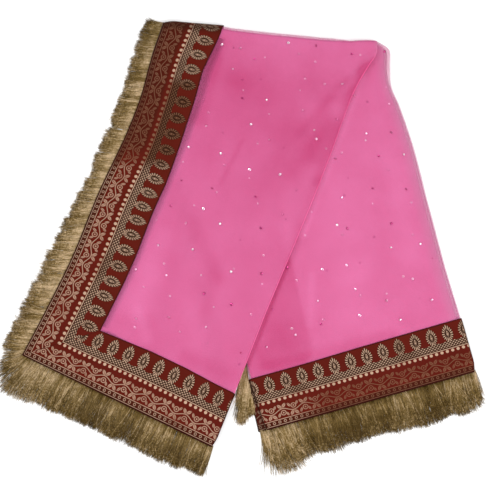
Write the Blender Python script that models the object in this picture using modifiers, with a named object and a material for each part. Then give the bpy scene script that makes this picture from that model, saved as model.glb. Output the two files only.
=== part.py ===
"""A dupatta stole laid out flat: a long net cloth folded in thirds, then doubled over a slanting
top fold, so that its two ends spread like an upturned V, the left one on top.

The net is bound by a woven border tape with mitred corners, and a thread fringe hangs from the
tape.  Both arms rest on the ground plane z = 0.  Metres, +Z up.
"""
import math
import random
from collections import namedtuple

import bmesh
import bpy
import numpy as np
from mathutils import Vector

MM = 0.001
COLLECTION = "dupatta_stole"

# ---------------------------------------------------------------- driving sizes, in metres
GAP = 0.3 * MM               # clear space left between pieces that are sewn together
NET_WALL = 1.0 * MM          # face panel of net
TAPE_WALL = 1.0 * MM         # woven border tape
PILE = 5.7 * MM              # hidden layers of one arm, pressed together
FACE_TOP = PILE + GAP + NET_WALL
ARM_ON_ARM = FACE_TOP + GAP  # how far the left arm is lifted where it lies on the right one
STACK_TOP = ARM_ON_ARM + FACE_TOP
LIFT_CLEAR = 20 * MM         # it is lifted in full up to this far outside the right arm
LIFT_RUN = 36 * MM           # and then slopes down to the ground over this length
SIDE_ROLL = FACE_TOP / 2     # radius of a folded side
TOP_ROLL = STACK_TOP / 2     # radius of the top fold
OPEN_EDGE_TOP = 2.6 * MM     # height of the face where the cloth ends
DROOP = 15 * MM              # strip along an open edge in which the face sinks down
DROOP_MARKS = (4 * MM, 7.4 * MM, 10.8 * MM, DROOP)    # mesh lines within that strip
SIDE_BORDER = 77 * MM        # width of the border tape along the sides of the net
END_BORDER = 71.5 * MM       # and across its ends, where more of it is taken up by the seam
MITRE_GAP = 0.7 * MM         # both tapes stop this far short of the mitre
PILE_FOLD_TUCK = 3.9 * MM    # the hidden layers end this far inside a folded side
PILE_TOP_TUCK = 2.4 * MM     # and this far below the first mesh row
CORNER_CLEAR = 26 * MM       # the top fold stays above the right arm this near to its right end
RIGHT_TOP_TUCK = 6.8 * MM    # the right arm ends this far inside the top fold of the left one
EDGE_PIECES = 60             # straight pieces in the line of each edge
SIDE_FRINGE_SPLIT = 0.26     # the side fringe is sewn on in two lengths that meet here
FACE_COLUMNS = 8             # even mesh columns between the side tape and the fold
FACE_ROWS = 18               # even mesh rows between the top fold and the end tape
ROLL_TURN = math.radians(150)       # a face panel turns under its fold this far
TAPE_TURN = math.radians(112)       # and a tape this far
UNDER_FRINGE_FROM = 0.925    # its fringe shows from here on
UNDER_FROM = 0.885           # the lower layer's tape peeks out from here on down to the hem
UNDER_CLEAR = 1.8 * MM       # it starts this far outside the fold above it
UNDER_TAPE = (4 * MM, 9 * MM)       # and is this wide at its upper end and at the hem
UNDER_TOP = 2.4 * MM         # height of its top face

# ---------------------------------------------------------------- arms: one row per section
# along: 0 at the top fold, 1 at the hem.  The left and right ends of each section, in mm.
Section = namedtuple("Section", "along left_x left_y right_x right_y")
LEFT_ARM = (
    Section(0.00, -117, 330, 181, 306),
    Section(0.04, -123, 310, 178, 281),
    Section(0.08, -129, 291, 165, 261),
    Section(0.14, -137, 262, 147, 229),
    Section(0.22, -147, 223, 130, 184),
    Section(0.32, -163, 175, 109, 126),
    Section(0.52, -202, 82, 64, 12),
    Section(0.72, -237, -14, 17, -102),
    Section(0.86, -266, -79, -14, -181),
    Section(1.00, -296, -142, -46, -262),
)
RIGHT_ARM = (
    Section(0.00, -117, 330, 168, 305),
    Section(0.04, -111, 307, 194, 288),
    Section(0.08, -106, 284, 198, 270),
    Section(0.14, -97, 250, 198, 240),
    Section(0.22, -85, 205, 208, 206),
    Section(0.32, -71, 148, 222, 159),
    Section(0.52, -44, 34, 243, 64),
    Section(0.72, -17, -80, 264, -30),
    Section(0.86, 2, -160, 281, -96),
    Section(1.00, 21, -240, 297, -163),
)

# Soft folds of the face panels: from one end to the other, half width and height, in mm.
Crease = namedtuple("Crease", "x0 y0 x1 y1 half_width height")
LEFT_CREASES = (
    Crease(168, 262, 96, 205, 26, 1.3),
    Crease(96, 205, 62, 120, 22, 0.8),
    Crease(-20, 250, -62, 60, 34, 0.7),
    Crease(60, 150, -20, -70, 32, 0.8),
)
RIGHT_CREASES = (
    Crease(172, 190, 196, 60, 26, 0.9),
    Crease(124, -10, 104, -92, 34, 0.8),
    Crease(205, 20, 232, -60, 28, -0.5),
)

# Fringe: the spacing of its locks and their lengths at both ends of the row, in mm.
Fringe = namedtuple("Fringe", "pitch length_start length_end lean_start lean_end seed")
UPPER_SIDE_FRINGE = Fringe(6.4, 24, 25, 0, 0, 11)
LOWER_SIDE_FRINGE = Fringe(6.4, 25, 29, 0, 24, 15)
LEFT_END_FRINGE = Fringe(6.2, 50, 38, -28, 12, 12)
RIGHT_END_FRINGE = Fringe(6.2, 46, 46, -10, 4, 13)
UNDER_FRINGE = Fringe(6.2, 4, 17, 0, 4, 14)
FAN_SHARE = 0.08             # the locks lean over only in this share of the row at each end
LENGTH_PLAY = 2.0            # how much the locks' lengths vary, in mm
LEAN_PLAY = 1.4              # and their directions, in degrees
BACKING_WIDTH = 2.4 * MM
BACKING_BOTTOM = 1.1 * MM
BACKING_TOP = 2.5 * MM
LOCK_SHARE = 0.66            # width of a lock's root, as a share of the spacing
LOCK_STEPS = ((0.55, 0.85), (1.0, 0.45))    # share of the length, share of the root's width
LOCK_THICKNESS = (1.1 * MM, 0.6 * MM)
LOCK_FLOOR = 0.35 * MM       # the underside of each tip hangs this far above the ground

COLOURS = {
    "net": ((0.78, 0.19, 0.39), 0.7, 0.0),
    "layers": ((0.55, 0.12, 0.29), 0.8, 0.0),
    "tape": ((0.22, 0.02, 0.02), 0.55, 0.15),
    "fringe": ((0.27, 0.17, 0.07), 0.45, 0.1),
}


# ---------------------------------------------------------------- curves and distances
def smooth_through(stations, values, at):
    """A cubic curve through the values, whose slope at each is that of its neighbours."""
    slopes = np.gradient(values, stations)
    i = int(np.clip(np.searchsorted(stations, at) - 1, 0, len(stations) - 2))
    span = stations[i + 1] - stations[i]
    u = (at - stations[i]) / span
    start = values[i] * (1 + 2 * u) * (1 - u) ** 2 + slopes[i] * span * u * (1 - u) ** 2
    end = values[i + 1] * u * u * (3 - 2 * u) + slopes[i + 1] * span * u * u * (u - 1)
    return start + end


def line_distance(points, x, y):
    """The distance from (x, y) to a line of straight pieces."""
    a, b = points[:-1], points[1:]
    run = b - a
    offset = np.array((x, y)) - a
    share = np.clip((offset * run).sum(1) / (run * run).sum(1), 0, 1)
    return float(np.linalg.norm(offset - share[:, None] * run, axis=1).min())


def even_steps(start, end, steps):
    """Evenly spaced values after the start, up to and with the end."""
    return [start + (end - start) * (k + 1) / steps for k in range(steps)]


def smoothstep(x):
    x = min(1.0, max(0.0, x))
    return x * x * (3 - 2 * x)


class Arm:
    """One arm of the folded stole: its outline from the section table, and its face heights."""

    def __init__(self, sections, creases, open_left, top_tuck):
        self.stations = np.array([row.along for row in sections])
        self.ends = np.array([row[1:] for row in sections], float) * MM
        self.creases = creases
        self.open_left = open_left
        self.top_tuck = top_tuck
        self.length = (self.plan(0.5, 1) - self.plan(0.5, 0)).length
        self.sides = {
            "left": self.edge(lambda share: (0, share)),
            "right": self.edge(lambda share: (1, share)),
            "hem": self.edge(lambda share: (share, 1)),
        }
        self.open_lines = [self.sides[side] for side in (("left", "hem") if open_left else ("hem",))]

    def plan(self, across, along):
        """The place of a point of the arm, seen from above."""
        left_x, left_y, right_x, right_y = (
            smooth_through(self.stations, self.ends[:, c], along) for c in range(4))
        left = Vector((left_x, left_y))
        return left.lerp(Vector((right_x, right_y)), across)

    def edge(self, path):
        return np.array([self.plan(*path(k / EDGE_PIECES)) for k in range(EDGE_PIECES + 1)])

    def at(self, column, row):
        """The place this far from the left edge and this far down from the top fold."""
        along = row / self.length
        return self.plan(column / self.width(row), along)

    def width(self, row):
        along = row / self.length
        return (self.plan(1, along) - self.plan(0, along)).length

    def columns_at(self, row):
        """Distances of the face's mesh columns from the left edge."""
        far = self.width(row) - SIDE_ROLL
        if self.open_left:
            near = [*DROOP_MARKS, *even_steps(DROOP, SIDE_BORDER, 3)]
            return near + even_steps(SIDE_BORDER, far, FACE_COLUMNS)
        return [SIDE_ROLL] + even_steps(SIDE_ROLL, far, FACE_COLUMNS + 3)

    def rows(self):
        """Distances of the face's mesh rows from the top fold."""
        inner = self.length - END_BORDER
        steps = even_steps(self.top_tuck, inner, FACE_ROWS)
        tape = even_steps(inner, self.length - DROOP, 3)
        return [self.top_tuck] + steps + tape + [self.length - mark for mark in DROOP_MARKS[2::-1]]

    def crease_height(self, x, y):
        height = 0.0
        for crease in self.creases:
            ends = np.array(((crease.x0, crease.y0), (crease.x1, crease.y1))) * MM
            near = line_distance(ends, x, y) / (crease.half_width * MM)
            height += crease.height * MM * max(0.0, 1 - near * near) ** 2
        return height

    def lift(self, x, y):
        """How far the arm's underside is off the ground; only the left arm is lifted."""
        return 0.0

    def height(self, x, y):
        """The top of the net face."""
        edge = min(line_distance(line, x, y) for line in self.open_lines)
        rise = math.sin(math.pi / 2 * min(1.0, edge / DROOP))
        level = OPEN_EDGE_TOP + (FACE_TOP - OPEN_EDGE_TOP) * rise
        return self.lift(x, y) + level + self.crease_height(x, y)

    def on_face(self, spot, out):
        """A point over this spot, moved out from the net face by the distance given."""
        x, y = spot
        step = 0.5 * MM
        slope_x = (self.height(x + step, y) - self.height(x - step, y)) / (2 * step)
        slope_y = (self.height(x, y + step) - self.height(x, y - step)) / (2 * step)
        normal = Vector((-slope_x, -slope_y, 1)).normalized()
        return Vector((x, y, self.height(x, y))) + normal * out


class UpperArm(Arm):
    """The left arm, which climbs on to the right arm where the two cross."""

    def __init__(self, sections, creases, open_left, top_tuck, lower):
        self.lower_side = lower.sides["left"]
        super().__init__(sections, creases, open_left, top_tuck)

    def lift(self, x, y):
        start, end = Vector(self.lower_side[0]), Vector(self.lower_side[-1])
        run = end - start
        inside = run.cross(Vector((x, y)) - start) > 0
        distance = line_distance(self.lower_side, x, y)
        if inside:
            return ARM_ON_ARM
        return ARM_ON_ARM * smoothstep(1 - (distance - LIFT_CLEAR) / LIFT_RUN)


# ---------------------------------------------------------------- building pieces of cloth
def grid_panel(columns, rows, place):
    """A grid whose corners (column, row), counted from 0, are each put in place by a function."""
    bm = bmesh.new()
    bm.verts.layers.int.new("station")
    bmesh.ops.create_grid(bm, x_segments=columns, y_segments=rows, size=0.5)
    spots = {v: (round((v.co.x + 0.5) * columns), round((0.5 - v.co.y) * rows)) for v in bm.verts}
    for v, (column, row) in spots.items():
        v.co = place(column, row)
    bmesh.ops.triangulate(bm, faces=bm.faces, quad_method="FIXED")
    return bm, spots


def rim_of(spots, sides):
    """The grid's outer corners along the sides named, in order, going round against the clock."""
    last_column = max(column for column, row in spots.values())
    last_row = max(row for column, row in spots.values())
    runs = {
        "left": sorted((v for v in spots if spots[v][0] == 0), key=lambda v: spots[v][1]),
        "hem": sorted((v for v in spots if spots[v][1] == last_row), key=lambda v: spots[v][0]),
        "right": sorted((v for v in spots if spots[v][0] == last_column),
                        key=lambda v: -spots[v][1]),
        "top": sorted((v for v in spots if spots[v][1] == 0), key=lambda v: -spots[v][0]),
    }
    rim = []
    for side in sides:
        rim += [v for v in runs[side] if v not in rim]
    return rim


def outward_of(rim, closed):
    """The level direction that leads out of the cloth at each corner of a rim."""
    directions = []
    count = len(rim)
    for k in range(count):
        before = rim[k - 1] if closed or k > 0 else rim[k]
        after = rim[(k + 1) % count] if closed or k < count - 1 else rim[k]
        sides = []
        if before is not rim[k]:
            sides.append((rim[k].co - before.co).to_2d().normalized())
        if after is not rim[k]:
            sides.append((after.co - rim[k].co).to_2d().normalized())
        run = sum(sides, Vector((0, 0))).normalized()
        directions.append(Vector((run.y, -run.x, 0)))
    return directions


def grow_rim(bm, rim, closed, rings):
    """Extrude a rim through the rings given, each a list of places, and return the last one."""
    station = bm.verts.layers.int["station"]
    for ring in rings:
        for k, v in enumerate(rim):
            v[station] = k
        pairs = zip(rim, rim[1:] + rim[:1]) if closed else zip(rim, rim[1:])
        edges = [bm.edges.get(pair) for pair in pairs]
        grown = bmesh.ops.extrude_edge_only(bm, edges=edges)["geom"]
        fresh = [item for item in grown if isinstance(item, bmesh.types.BMVert)]
        rim = sorted(fresh, key=lambda v: v[station])
        for v, spot in zip(rim, ring):
            v.co = spot
    return rim


def roll_under(bm, rim, radii, turn, steps=6):
    """Carry a face on round its fold: a part of a circle of its own radius at each corner."""
    outward = outward_of(rim, closed=False)
    starts = [v.co.copy() for v in rim]
    rings = []
    for step in range(1, steps + 1):
        angle = turn * step / steps
        ring = []
        for start, out, radius in zip(starts, outward, radii):
            drop = Vector((0, 0, radius * (1 - math.cos(angle))))
            ring.append(start + out * radius * math.sin(angle) - drop)
        rings.append(ring)
    grow_rim(bm, rim, False, rings)


def add_piece(bm, name, colour, wall=None):
    """Put a mesh in an object of its own, with its own material; a sheet gets its wall inwards."""
    bmesh.ops.recalc_face_normals(bm, faces=bm.faces)
    widest = max(bm.faces, key=lambda face: abs(face.normal.z) * face.calc_area())
    if wall and widest.normal.z < 0:
        bmesh.ops.reverse_faces(bm, faces=bm.faces)
    mesh = bpy.data.meshes.new(name)
    bm.to_mesh(mesh)
    bm.free()
    piece = bpy.data.objects.new(name, mesh)
    bpy.data.collections[COLLECTION].objects.link(piece)
    if wall:
        skin = piece.modifiers.new("wall", "SOLIDIFY")
        skin.thickness = wall
        skin.offset = -1
        skin.use_even_offset = True
    rgb, roughness, metallic = COLOURS[colour]
    material = bpy.data.materials.new(name)
    material.use_nodes = True
    shader = material.node_tree.nodes["Principled BSDF"]
    shader.inputs["Base Color"].default_value = (*rgb, 1)
    shader.inputs["Roughness"].default_value = roughness
    shader.inputs["Metallic"].default_value = metallic
    mesh.materials.append(material)
    mesh.shade_smooth()
    return piece


# ---------------------------------------------------------------- hidden layers
LAYERS = 3
LAYER_STEP = 1.9 * MM        # each lower layer sticks out this much more along an open edge
LAYER_ROUND = 0.8 * MM       # how far each layer's rounded edge swells


def hidden_layers(name, arm):
    """The folded layers inside one arm: a flat-bottomed solid whose edges show each layer."""
    rows = arm.rows()[:1 - len(DROOP_MARKS)]
    tuck_share = PILE_TOP_TUCK / (rows[1] - rows[0])
    skip = len(DROOP_MARKS) - 1 if arm.open_left else 0

    def plan_spot(column, row):
        columns = arm.columns_at(rows[row])[skip:]
        columns[-1] -= PILE_FOLD_TUCK - SIDE_ROLL
        if not arm.open_left:
            columns[0] += PILE_FOLD_TUCK - SIDE_ROLL
        return arm.at(columns[column], rows[row])

    def top_spot(column, row):
        spot = plan_spot(column, row)
        if row == 0:
            spot = spot.lerp(plan_spot(column, 1), tuck_share)
        return arm.on_face(spot, -(NET_WALL + GAP))

    bm, spots = grid_panel(len(arm.columns_at(0)) - skip - 1, len(rows) - 1, top_spot)
    rim = rim_of(spots, ("left", "hem", "right", "top"))
    outward = outward_of(rim, closed=True)
    corner = [v.co.copy() for v in rim]
    folds = {max(column for column, row in spots.values())} | (set() if arm.open_left else {0})
    stepped = []
    for v in rim:
        column, row = spots[v]
        at_open_edge = row == len(rows) - 1 or (arm.open_left and column == 0)
        stepped.append(LAYER_STEP if at_open_edge and column not in folds else 0)

    def ring(depth, swell, layer):
        """One line of places round the wall: depth 0 at the top and 1 at the ground."""
        places = []
        for start, out, step in zip(corner, outward, stepped):
            bottom = arm.lift(start.x, start.y)
            spot = start + out * (swell + step * layer)
            spot.z = start.z + (bottom - start.z) * depth
            places.append(spot)
        return places

    rings = []
    for layer in range(LAYERS):
        rings.append(ring((layer + 0.5) / LAYERS, LAYER_ROUND, layer))
        if layer < LAYERS - 1:
            rings.append(ring((layer + 1) / LAYERS, 0.1 * LAYER_ROUND, layer + 0.5))
    rings.append(ring(1, 0.5 * LAYER_ROUND, LAYERS - 1))

    top_faces = list(bm.faces)
    underside = bmesh.ops.duplicate(bm, geom=top_faces + list(bm.verts) + list(bm.edges))
    twin = underside["vert_map"]
    rim_twins = {twin[v]: k for k, v in enumerate(rim)}
    for v in list(spots):
        below = twin[v]
        below.co.z = arm.lift(below.co.x, below.co.y)
        if below in rim_twins:
            below.co = rings[-1][rim_twins[below]]
    grow_rim(bm, rim, True, rings)
    bmesh.ops.remove_doubles(bm, verts=bm.verts, dist=0.01 * MM)
    return add_piece(bm, name, "layers")


# ---------------------------------------------------------------- net faces
def net_face(name, arm, rolled, floor_under):
    """The face panel of an arm, rolled under along its folds."""
    rows = arm.rows()

    def spot(column, row):
        return arm.on_face(arm.at(arm.columns_at(rows[row])[column], rows[row]), 0)

    bm, spots = grid_panel(len(arm.columns_at(0)) - 1, len(rows) - 1, spot)
    rim = rim_of(spots, rolled)
    top_corner = next(v for v in rim if spots[v] == (len(arm.columns_at(0)) - 1, 0))
    radii = []
    for v in rim:
        floor = floor_under(v.co, spots[v][1] == 0, (v.co - top_corner.co).length)
        radii.append((v.co.z - floor) / 2)
    roll_under(bm, rim, radii, ROLL_TURN)
    return add_piece(bm, name, "net", NET_WALL)


def left_net_face(arm):
    """The top third of the left arm, which also covers the top fold down to the ground."""
    def floor_under(spot, at_top_fold, from_corner):
        if at_top_fold:
            return ARM_ON_ARM * smoothstep(1 - (from_corner - CORNER_CLEAR) / LIFT_RUN)
        return arm.lift(spot.x, spot.y)

    return net_face("left_net_face", arm, ("right", "top"), floor_under)


def right_net_face(arm):
    """The middle third, on the right arm, with a fold on either side."""
    return net_face("right_net_face", arm, ("right", "top", "left"), lambda *where: 0)


# ---------------------------------------------------------------- border tapes
TAPE_OUT = GAP + TAPE_WALL   # the tape's face lies this far out from the net's


def roll_tape(bm, rim):
    """Carry a tape round the fold of the net below it."""
    roll_under(bm, rim, [(v.co.z - TAPE_OUT) / 2 + TAPE_OUT for v in rim], TAPE_TURN, steps=4)


def left_side_border(arm):
    """The tape down the left arm's open side, from the top fold to the mitred corner."""
    rows = [row for row in arm.rows() if row < arm.length - END_BORDER - 1 * MM]
    columns = [0.0] + [c for c in arm.columns_at(0) if c < SIDE_BORDER + 1 * MM]

    def spot(column, row):
        across = columns[column]
        down = arm.length - END_BORDER * across / SIDE_BORDER - MITRE_GAP
        if row < len(rows):
            down = rows[row]
        return arm.on_face(arm.at(across, down), TAPE_OUT)

    bm, spots = grid_panel(len(columns) - 1, len(rows), spot)
    roll_tape(bm, rim_of(spots, ("top",)))
    return add_piece(bm, "left_side_border", "tape", TAPE_WALL)


def end_border(name, arm):
    """The tape across a hem, rolled round the folds and mitred where it meets a side tape."""
    first = arm.length - END_BORDER
    rows = [row for row in arm.rows() if row > first - 1 * MM] + [arm.length]
    clear = SIDE_BORDER + 1 * MM if arm.open_left else 0

    def spot(column, row):
        down = rows[row]
        columns = [c for c in arm.columns_at(down) if c > clear]
        if arm.open_left:
            mitre = SIDE_BORDER * (arm.length - down) / END_BORDER
            columns = [mitre + MITRE_GAP] + columns
        return arm.on_face(arm.at(columns[column], down), TAPE_OUT)

    count = len([c for c in arm.columns_at(first) if c > clear])
    bm, spots = grid_panel(count if arm.open_left else count - 1, len(rows) - 1, spot)
    roll_tape(bm, rim_of(spots, ("right",)))
    if not arm.open_left:
        roll_tape(bm, rim_of(spots, ("left",)))
    return add_piece(bm, name, "tape", TAPE_WALL)


def under_line(arm, along, out):
    """A place beside the right arm's left fold, moved out by the distance given."""
    step = 0.002
    run = (arm.plan(0, along + step) - arm.plan(0, along - step)).normalized()
    return arm.plan(0, along) + Vector((run.y, -run.x)) * out


def under_width(along):
    share = (along - UNDER_FROM) / (1 - UNDER_FROM)
    return UNDER_TAPE[0] + (UNDER_TAPE[1] - UNDER_TAPE[0]) * share


def under_border(arm):
    """The edge of the next layer's end tape, which peeks out beside the right arm's left fold."""
    columns, rows = 2, 8

    def spot(column, row):
        along = UNDER_FROM + (1 - UNDER_FROM) * row / rows
        out = UNDER_CLEAR + under_width(along) * (1 - column / columns)
        return (*under_line(arm, along, out), UNDER_TOP)

    bm, spots = grid_panel(columns, rows, spot)
    return add_piece(bm, "right_under_border", "tape", TAPE_WALL)


# ---------------------------------------------------------------- fringe
def fringe_row(name, line, lift, row):
    """Locks of thread fused at their roots to a narrow backing, which lies beside the tape."""
    chance = random.Random(row.seed)
    line = [Vector(point) for point in line]
    travelled = [0.0]
    for a, b in zip(line, line[1:]):
        travelled.append(travelled[-1] + (b - a).length)
    xs, ys = [p.x for p in line], [p.y for p in line]
    locks = int(travelled[-1] / (row.pitch * MM))

    def place(distance):
        return Vector((np.interp(distance, travelled, xs), np.interp(distance, travelled, ys)))

    def frame_at(distance):
        step = 1 * MM
        low, high = max(0.0, distance - step), min(travelled[-1], distance + step)
        run = (place(high) - place(low)).normalized()
        return place(distance), run, Vector((run.y, -run.x))

    pitch = travelled[-1] / locks
    half = pitch * LOCK_SHARE / 2
    cuts = [GAP]
    for k in range(locks):
        middle = (k + 0.5) * pitch
        cuts += [middle - half, middle + half]
    cuts.append(travelled[-1] - GAP)

    bm = bmesh.new()
    sections = []
    for cut in cuts:
        spot, run, out = frame_at(cut)
        inner, outer = spot + out * GAP, spot + out * (GAP + BACKING_WIDTH)
        ground = lift(*spot)
        low, high = ground + BACKING_BOTTOM, ground + BACKING_TOP
        corners = ((*inner, low), (*inner, high), (*outer, high), (*outer, low))
        sections.append([bm.verts.new(corner) for corner in corners])
    outer_faces = []
    for first, second in zip(sections, sections[1:]):
        for k in range(4):
            after = (k + 1) % 4
            face = bm.faces.new((first[k], first[after], second[after], second[k]))
            if k == 2:
                outer_faces.append(face)
    bm.faces.new(sections[0])
    bm.faces.new(sections[-1])
    bmesh.ops.recalc_face_normals(bm, faces=bm.faces)

    for k, face in enumerate(outer_faces[1::2]):
        share = (k + 0.5) / locks
        spot, run, out = frame_at((k + 0.5) * pitch)
        fan = (row.lean_start * smoothstep(1 - share / FAN_SHARE)
               + row.lean_end * smoothstep(1 - (1 - share) / FAN_SHARE))
        lean = math.radians(fan + chance.uniform(-LEAN_PLAY, LEAN_PLAY))
        length = row.length_start + (row.length_end - row.length_start) * share
        length = (length + chance.uniform(-LENGTH_PLAY, LENGTH_PLAY)) * MM
        way = out * math.cos(lean) + run * math.sin(lean)
        side = run * math.cos(lean) - out * math.sin(lean)
        root = spot + out * (GAP + BACKING_WIDTH)
        root_height = lift(*spot) + (BACKING_BOTTOM + BACKING_TOP) / 2
        for (reach, slim), thick in zip(LOCK_STEPS, LOCK_THICKNESS):
            face = bmesh.ops.extrude_discrete_faces(bm, faces=[face])["faces"][0]
            middle = root + way * length * reach
            ground = lift(*middle)
            resting = ground + LOCK_FLOOR + thick / 2
            height = root_height + (resting - root_height) * reach
            centre = face.calc_center_median()
            for v in face.verts:
                sideways = 1 if (v.co.to_2d() - centre.to_2d()).dot(run) > 0 else -1
                upwards = 1 if v.co.z > centre.z else -1
                flat = middle + side * sideways * half * slim
                v.co = (flat.x, flat.y, height + upwards * thick / 2)
    return add_piece(bm, name, "fringe")


# ---------------------------------------------------------------- the whole piece
def clear_scene():
    for old in list(bpy.data.objects):
        bpy.data.objects.remove(old, do_unlink=True)
    folder = bpy.data.collections.new(COLLECTION)
    bpy.context.scene.collection.children.link(folder)


def centre_on_origin(pieces):
    """Hang the pieces on an empty, placed so that the middle of their outline is on the origin."""
    bpy.context.view_layer.update()
    graph = bpy.context.evaluated_depsgraph_get()
    corners = [Vector(corner) for piece in pieces for corner in piece.evaluated_get(graph).bound_box]
    middle = [(min(c[k] for c in corners) + max(c[k] for c in corners)) / 2 for k in (0, 1)]
    place = bpy.data.objects.new(COLLECTION + "_place", None)
    bpy.data.collections[COLLECTION].objects.link(place)
    place.location = (-middle[0], -middle[1], 0)
    for piece in pieces:
        piece.parent = place
    print("outline centre, mm:", [round(m / MM, 3) for m in middle])


def build():
    clear_scene()
    right = Arm(RIGHT_ARM, RIGHT_CREASES, False, SIDE_ROLL + RIGHT_TOP_TUCK)
    left = UpperArm(LEFT_ARM, LEFT_CREASES, True, TOP_ROLL, right)

    def under_edge(first):
        stations = np.linspace(first, 1, 20)
        return [under_line(right, a, UNDER_CLEAR + under_width(a)) for a in stations]

    first = 2
    split = round(SIDE_FRINGE_SPLIT * EDGE_PIECES)
    pieces = [
        hidden_layers("right_inner_layers", right),
        hidden_layers("left_inner_layers", left),
        right_net_face(right),
        left_net_face(left),
        left_side_border(left),
        end_border("left_end_border", left),
        end_border("right_end_border", right),
        under_border(right),
        fringe_row("left_side_fringe_upper", left.sides["left"][first:split + 1], left.lift,
                   UPPER_SIDE_FRINGE),
        fringe_row("left_side_fringe_lower", left.sides["left"][split:], left.lift,
                   LOWER_SIDE_FRINGE),
        fringe_row("left_end_fringe", left.sides["hem"], left.lift, LEFT_END_FRINGE),
        fringe_row("right_end_fringe", right.sides["hem"], right.lift, RIGHT_END_FRINGE),
        fringe_row("right_under_fringe", under_edge(UNDER_FRINGE_FROM), right.lift, UNDER_FRINGE),
    ]
    centre_on_origin(pieces)


build()
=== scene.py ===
# %% [markdown]
# # A dupatta stole, folded and laid out flat
#
# A dupatta is a long piece of sheer net, bound all round by a woven border tape and finished
# with a thread fringe.  This one is folded in thirds along its length and then doubled over a
# slanting top fold, so its two arms spread like an upturned V.  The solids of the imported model
# give its true size; this lesson lays the real cloth, tape, thread and sequins over them.

# %% Load the frame
import math

import bpy
import numpy as np
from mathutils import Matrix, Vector


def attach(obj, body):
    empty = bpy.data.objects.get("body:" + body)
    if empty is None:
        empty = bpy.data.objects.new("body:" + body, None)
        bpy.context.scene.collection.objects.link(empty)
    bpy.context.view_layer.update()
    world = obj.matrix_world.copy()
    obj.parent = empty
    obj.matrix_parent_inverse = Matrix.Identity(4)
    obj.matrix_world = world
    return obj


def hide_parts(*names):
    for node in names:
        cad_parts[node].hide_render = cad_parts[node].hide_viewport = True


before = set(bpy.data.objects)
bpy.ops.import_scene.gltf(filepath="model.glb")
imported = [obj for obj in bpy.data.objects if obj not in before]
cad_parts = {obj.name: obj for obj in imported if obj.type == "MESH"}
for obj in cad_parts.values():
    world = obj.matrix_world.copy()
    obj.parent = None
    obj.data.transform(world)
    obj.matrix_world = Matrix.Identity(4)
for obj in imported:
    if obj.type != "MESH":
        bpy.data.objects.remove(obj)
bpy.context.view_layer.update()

MM = 0.001

# %% [markdown]
# ## The driving sizes
#
# A folded cloth is easiest to describe by what a tailor would measure: how thick one arm is,
# how wide the tape is, how far each layer sits inside the next.  All later shapes are worked
# out from these few values and from two tables of sections, one for each arm.

# %% Driving sizes
ARM_TOP = 7.0 * MM           # height of an arm's net face above what it lies on
ARM_ON_ARM = 7.3 * MM        # the left arm is lifted this much where it lies on the right one
LIFT_CLEAR = 20 * MM         # it stays lifted up to this far outside the right arm
LIFT_RUN = 36 * MM           # and then sinks to the ground over this length
SIDE_ROLL = ARM_TOP / 2      # radius of a folded side
TOP_ROLL = (ARM_ON_ARM + ARM_TOP) / 2      # radius of the top fold
RIGHT_TOP = 5.2 * MM         # the right arm's face starts this far below the top fold
SAG_FADE = 70 * MM           # the top fold's sag dies out this far below it
CORNER_CLEAR = 26 * MM       # the top fold stays above the right arm this near to its right end
OPEN_EDGE = 2.6 * MM         # height of the face at an open edge
DROOP = 15 * MM              # strip along an open edge in which the face sinks down
SIDE_TAPE = 77 * MM          # width of the border tape along the sides
END_TAPE = 71.5 * MM         # and across the ends
TAPE_OUT = 1.1 * MM          # the tape's face stands this far out from the net's
NET_SHELL = 0.3 * MM
TAPE_SHELL = 0.7 * MM
CLEAR = 0.1 * MM             # what is turned under stays this far above the ground
OUTLINE_CENTRE = np.array((-12.198, 15.918)) * MM     # middle of the outline in the tables

# Each row: share of the way from the top fold to the hem, x and y of the left end, and x and y of
# the right end, in mm.
LEFT_ARM = (
    (0.00, -117, 330, 179, 303.5),
    (0.04, -123, 310, 178, 281),
    (0.08, -129, 291, 165, 261),
    (0.14, -137, 262, 147, 229),
    (0.22, -147, 223, 130, 184),
    (0.32, -163, 175, 109, 126),
    (0.52, -202, 82, 64, 12),
    (0.72, -237, -14, 17, -102),
    (0.86, -266, -79, -13, -181),
    (1.00, -296, -142, -46, -262),
)
RIGHT_ARM = (
    (0.00, -117, 330, 174, 305),
    (0.04, -111, 307, 196.5, 288.5),
    (0.055, -109, 298, 197.5, 282),
    (0.08, -106, 284, 197, 270),
    (0.14, -97, 250, 197, 238),
    (0.22, -85, 205, 208, 206),
    (0.32, -71, 148, 222, 159),
    (0.52, -44, 34, 243, 64),
    (0.72, -17, -80, 264, -30),
    (0.86, -2, -160, 281, -96),
    (1.00, 22.5, -240, 297, -163),
)
# The top fold hangs a little slack: how far it sags, in mm, at places from left to right.
SAG = ((-40, 0), (-25, 2), (10, 3.7), (57, 4.3), (100, 5.2), (125, 4.6), (143, 3.5), (155, 1.5),
       (168, 0))
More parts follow.
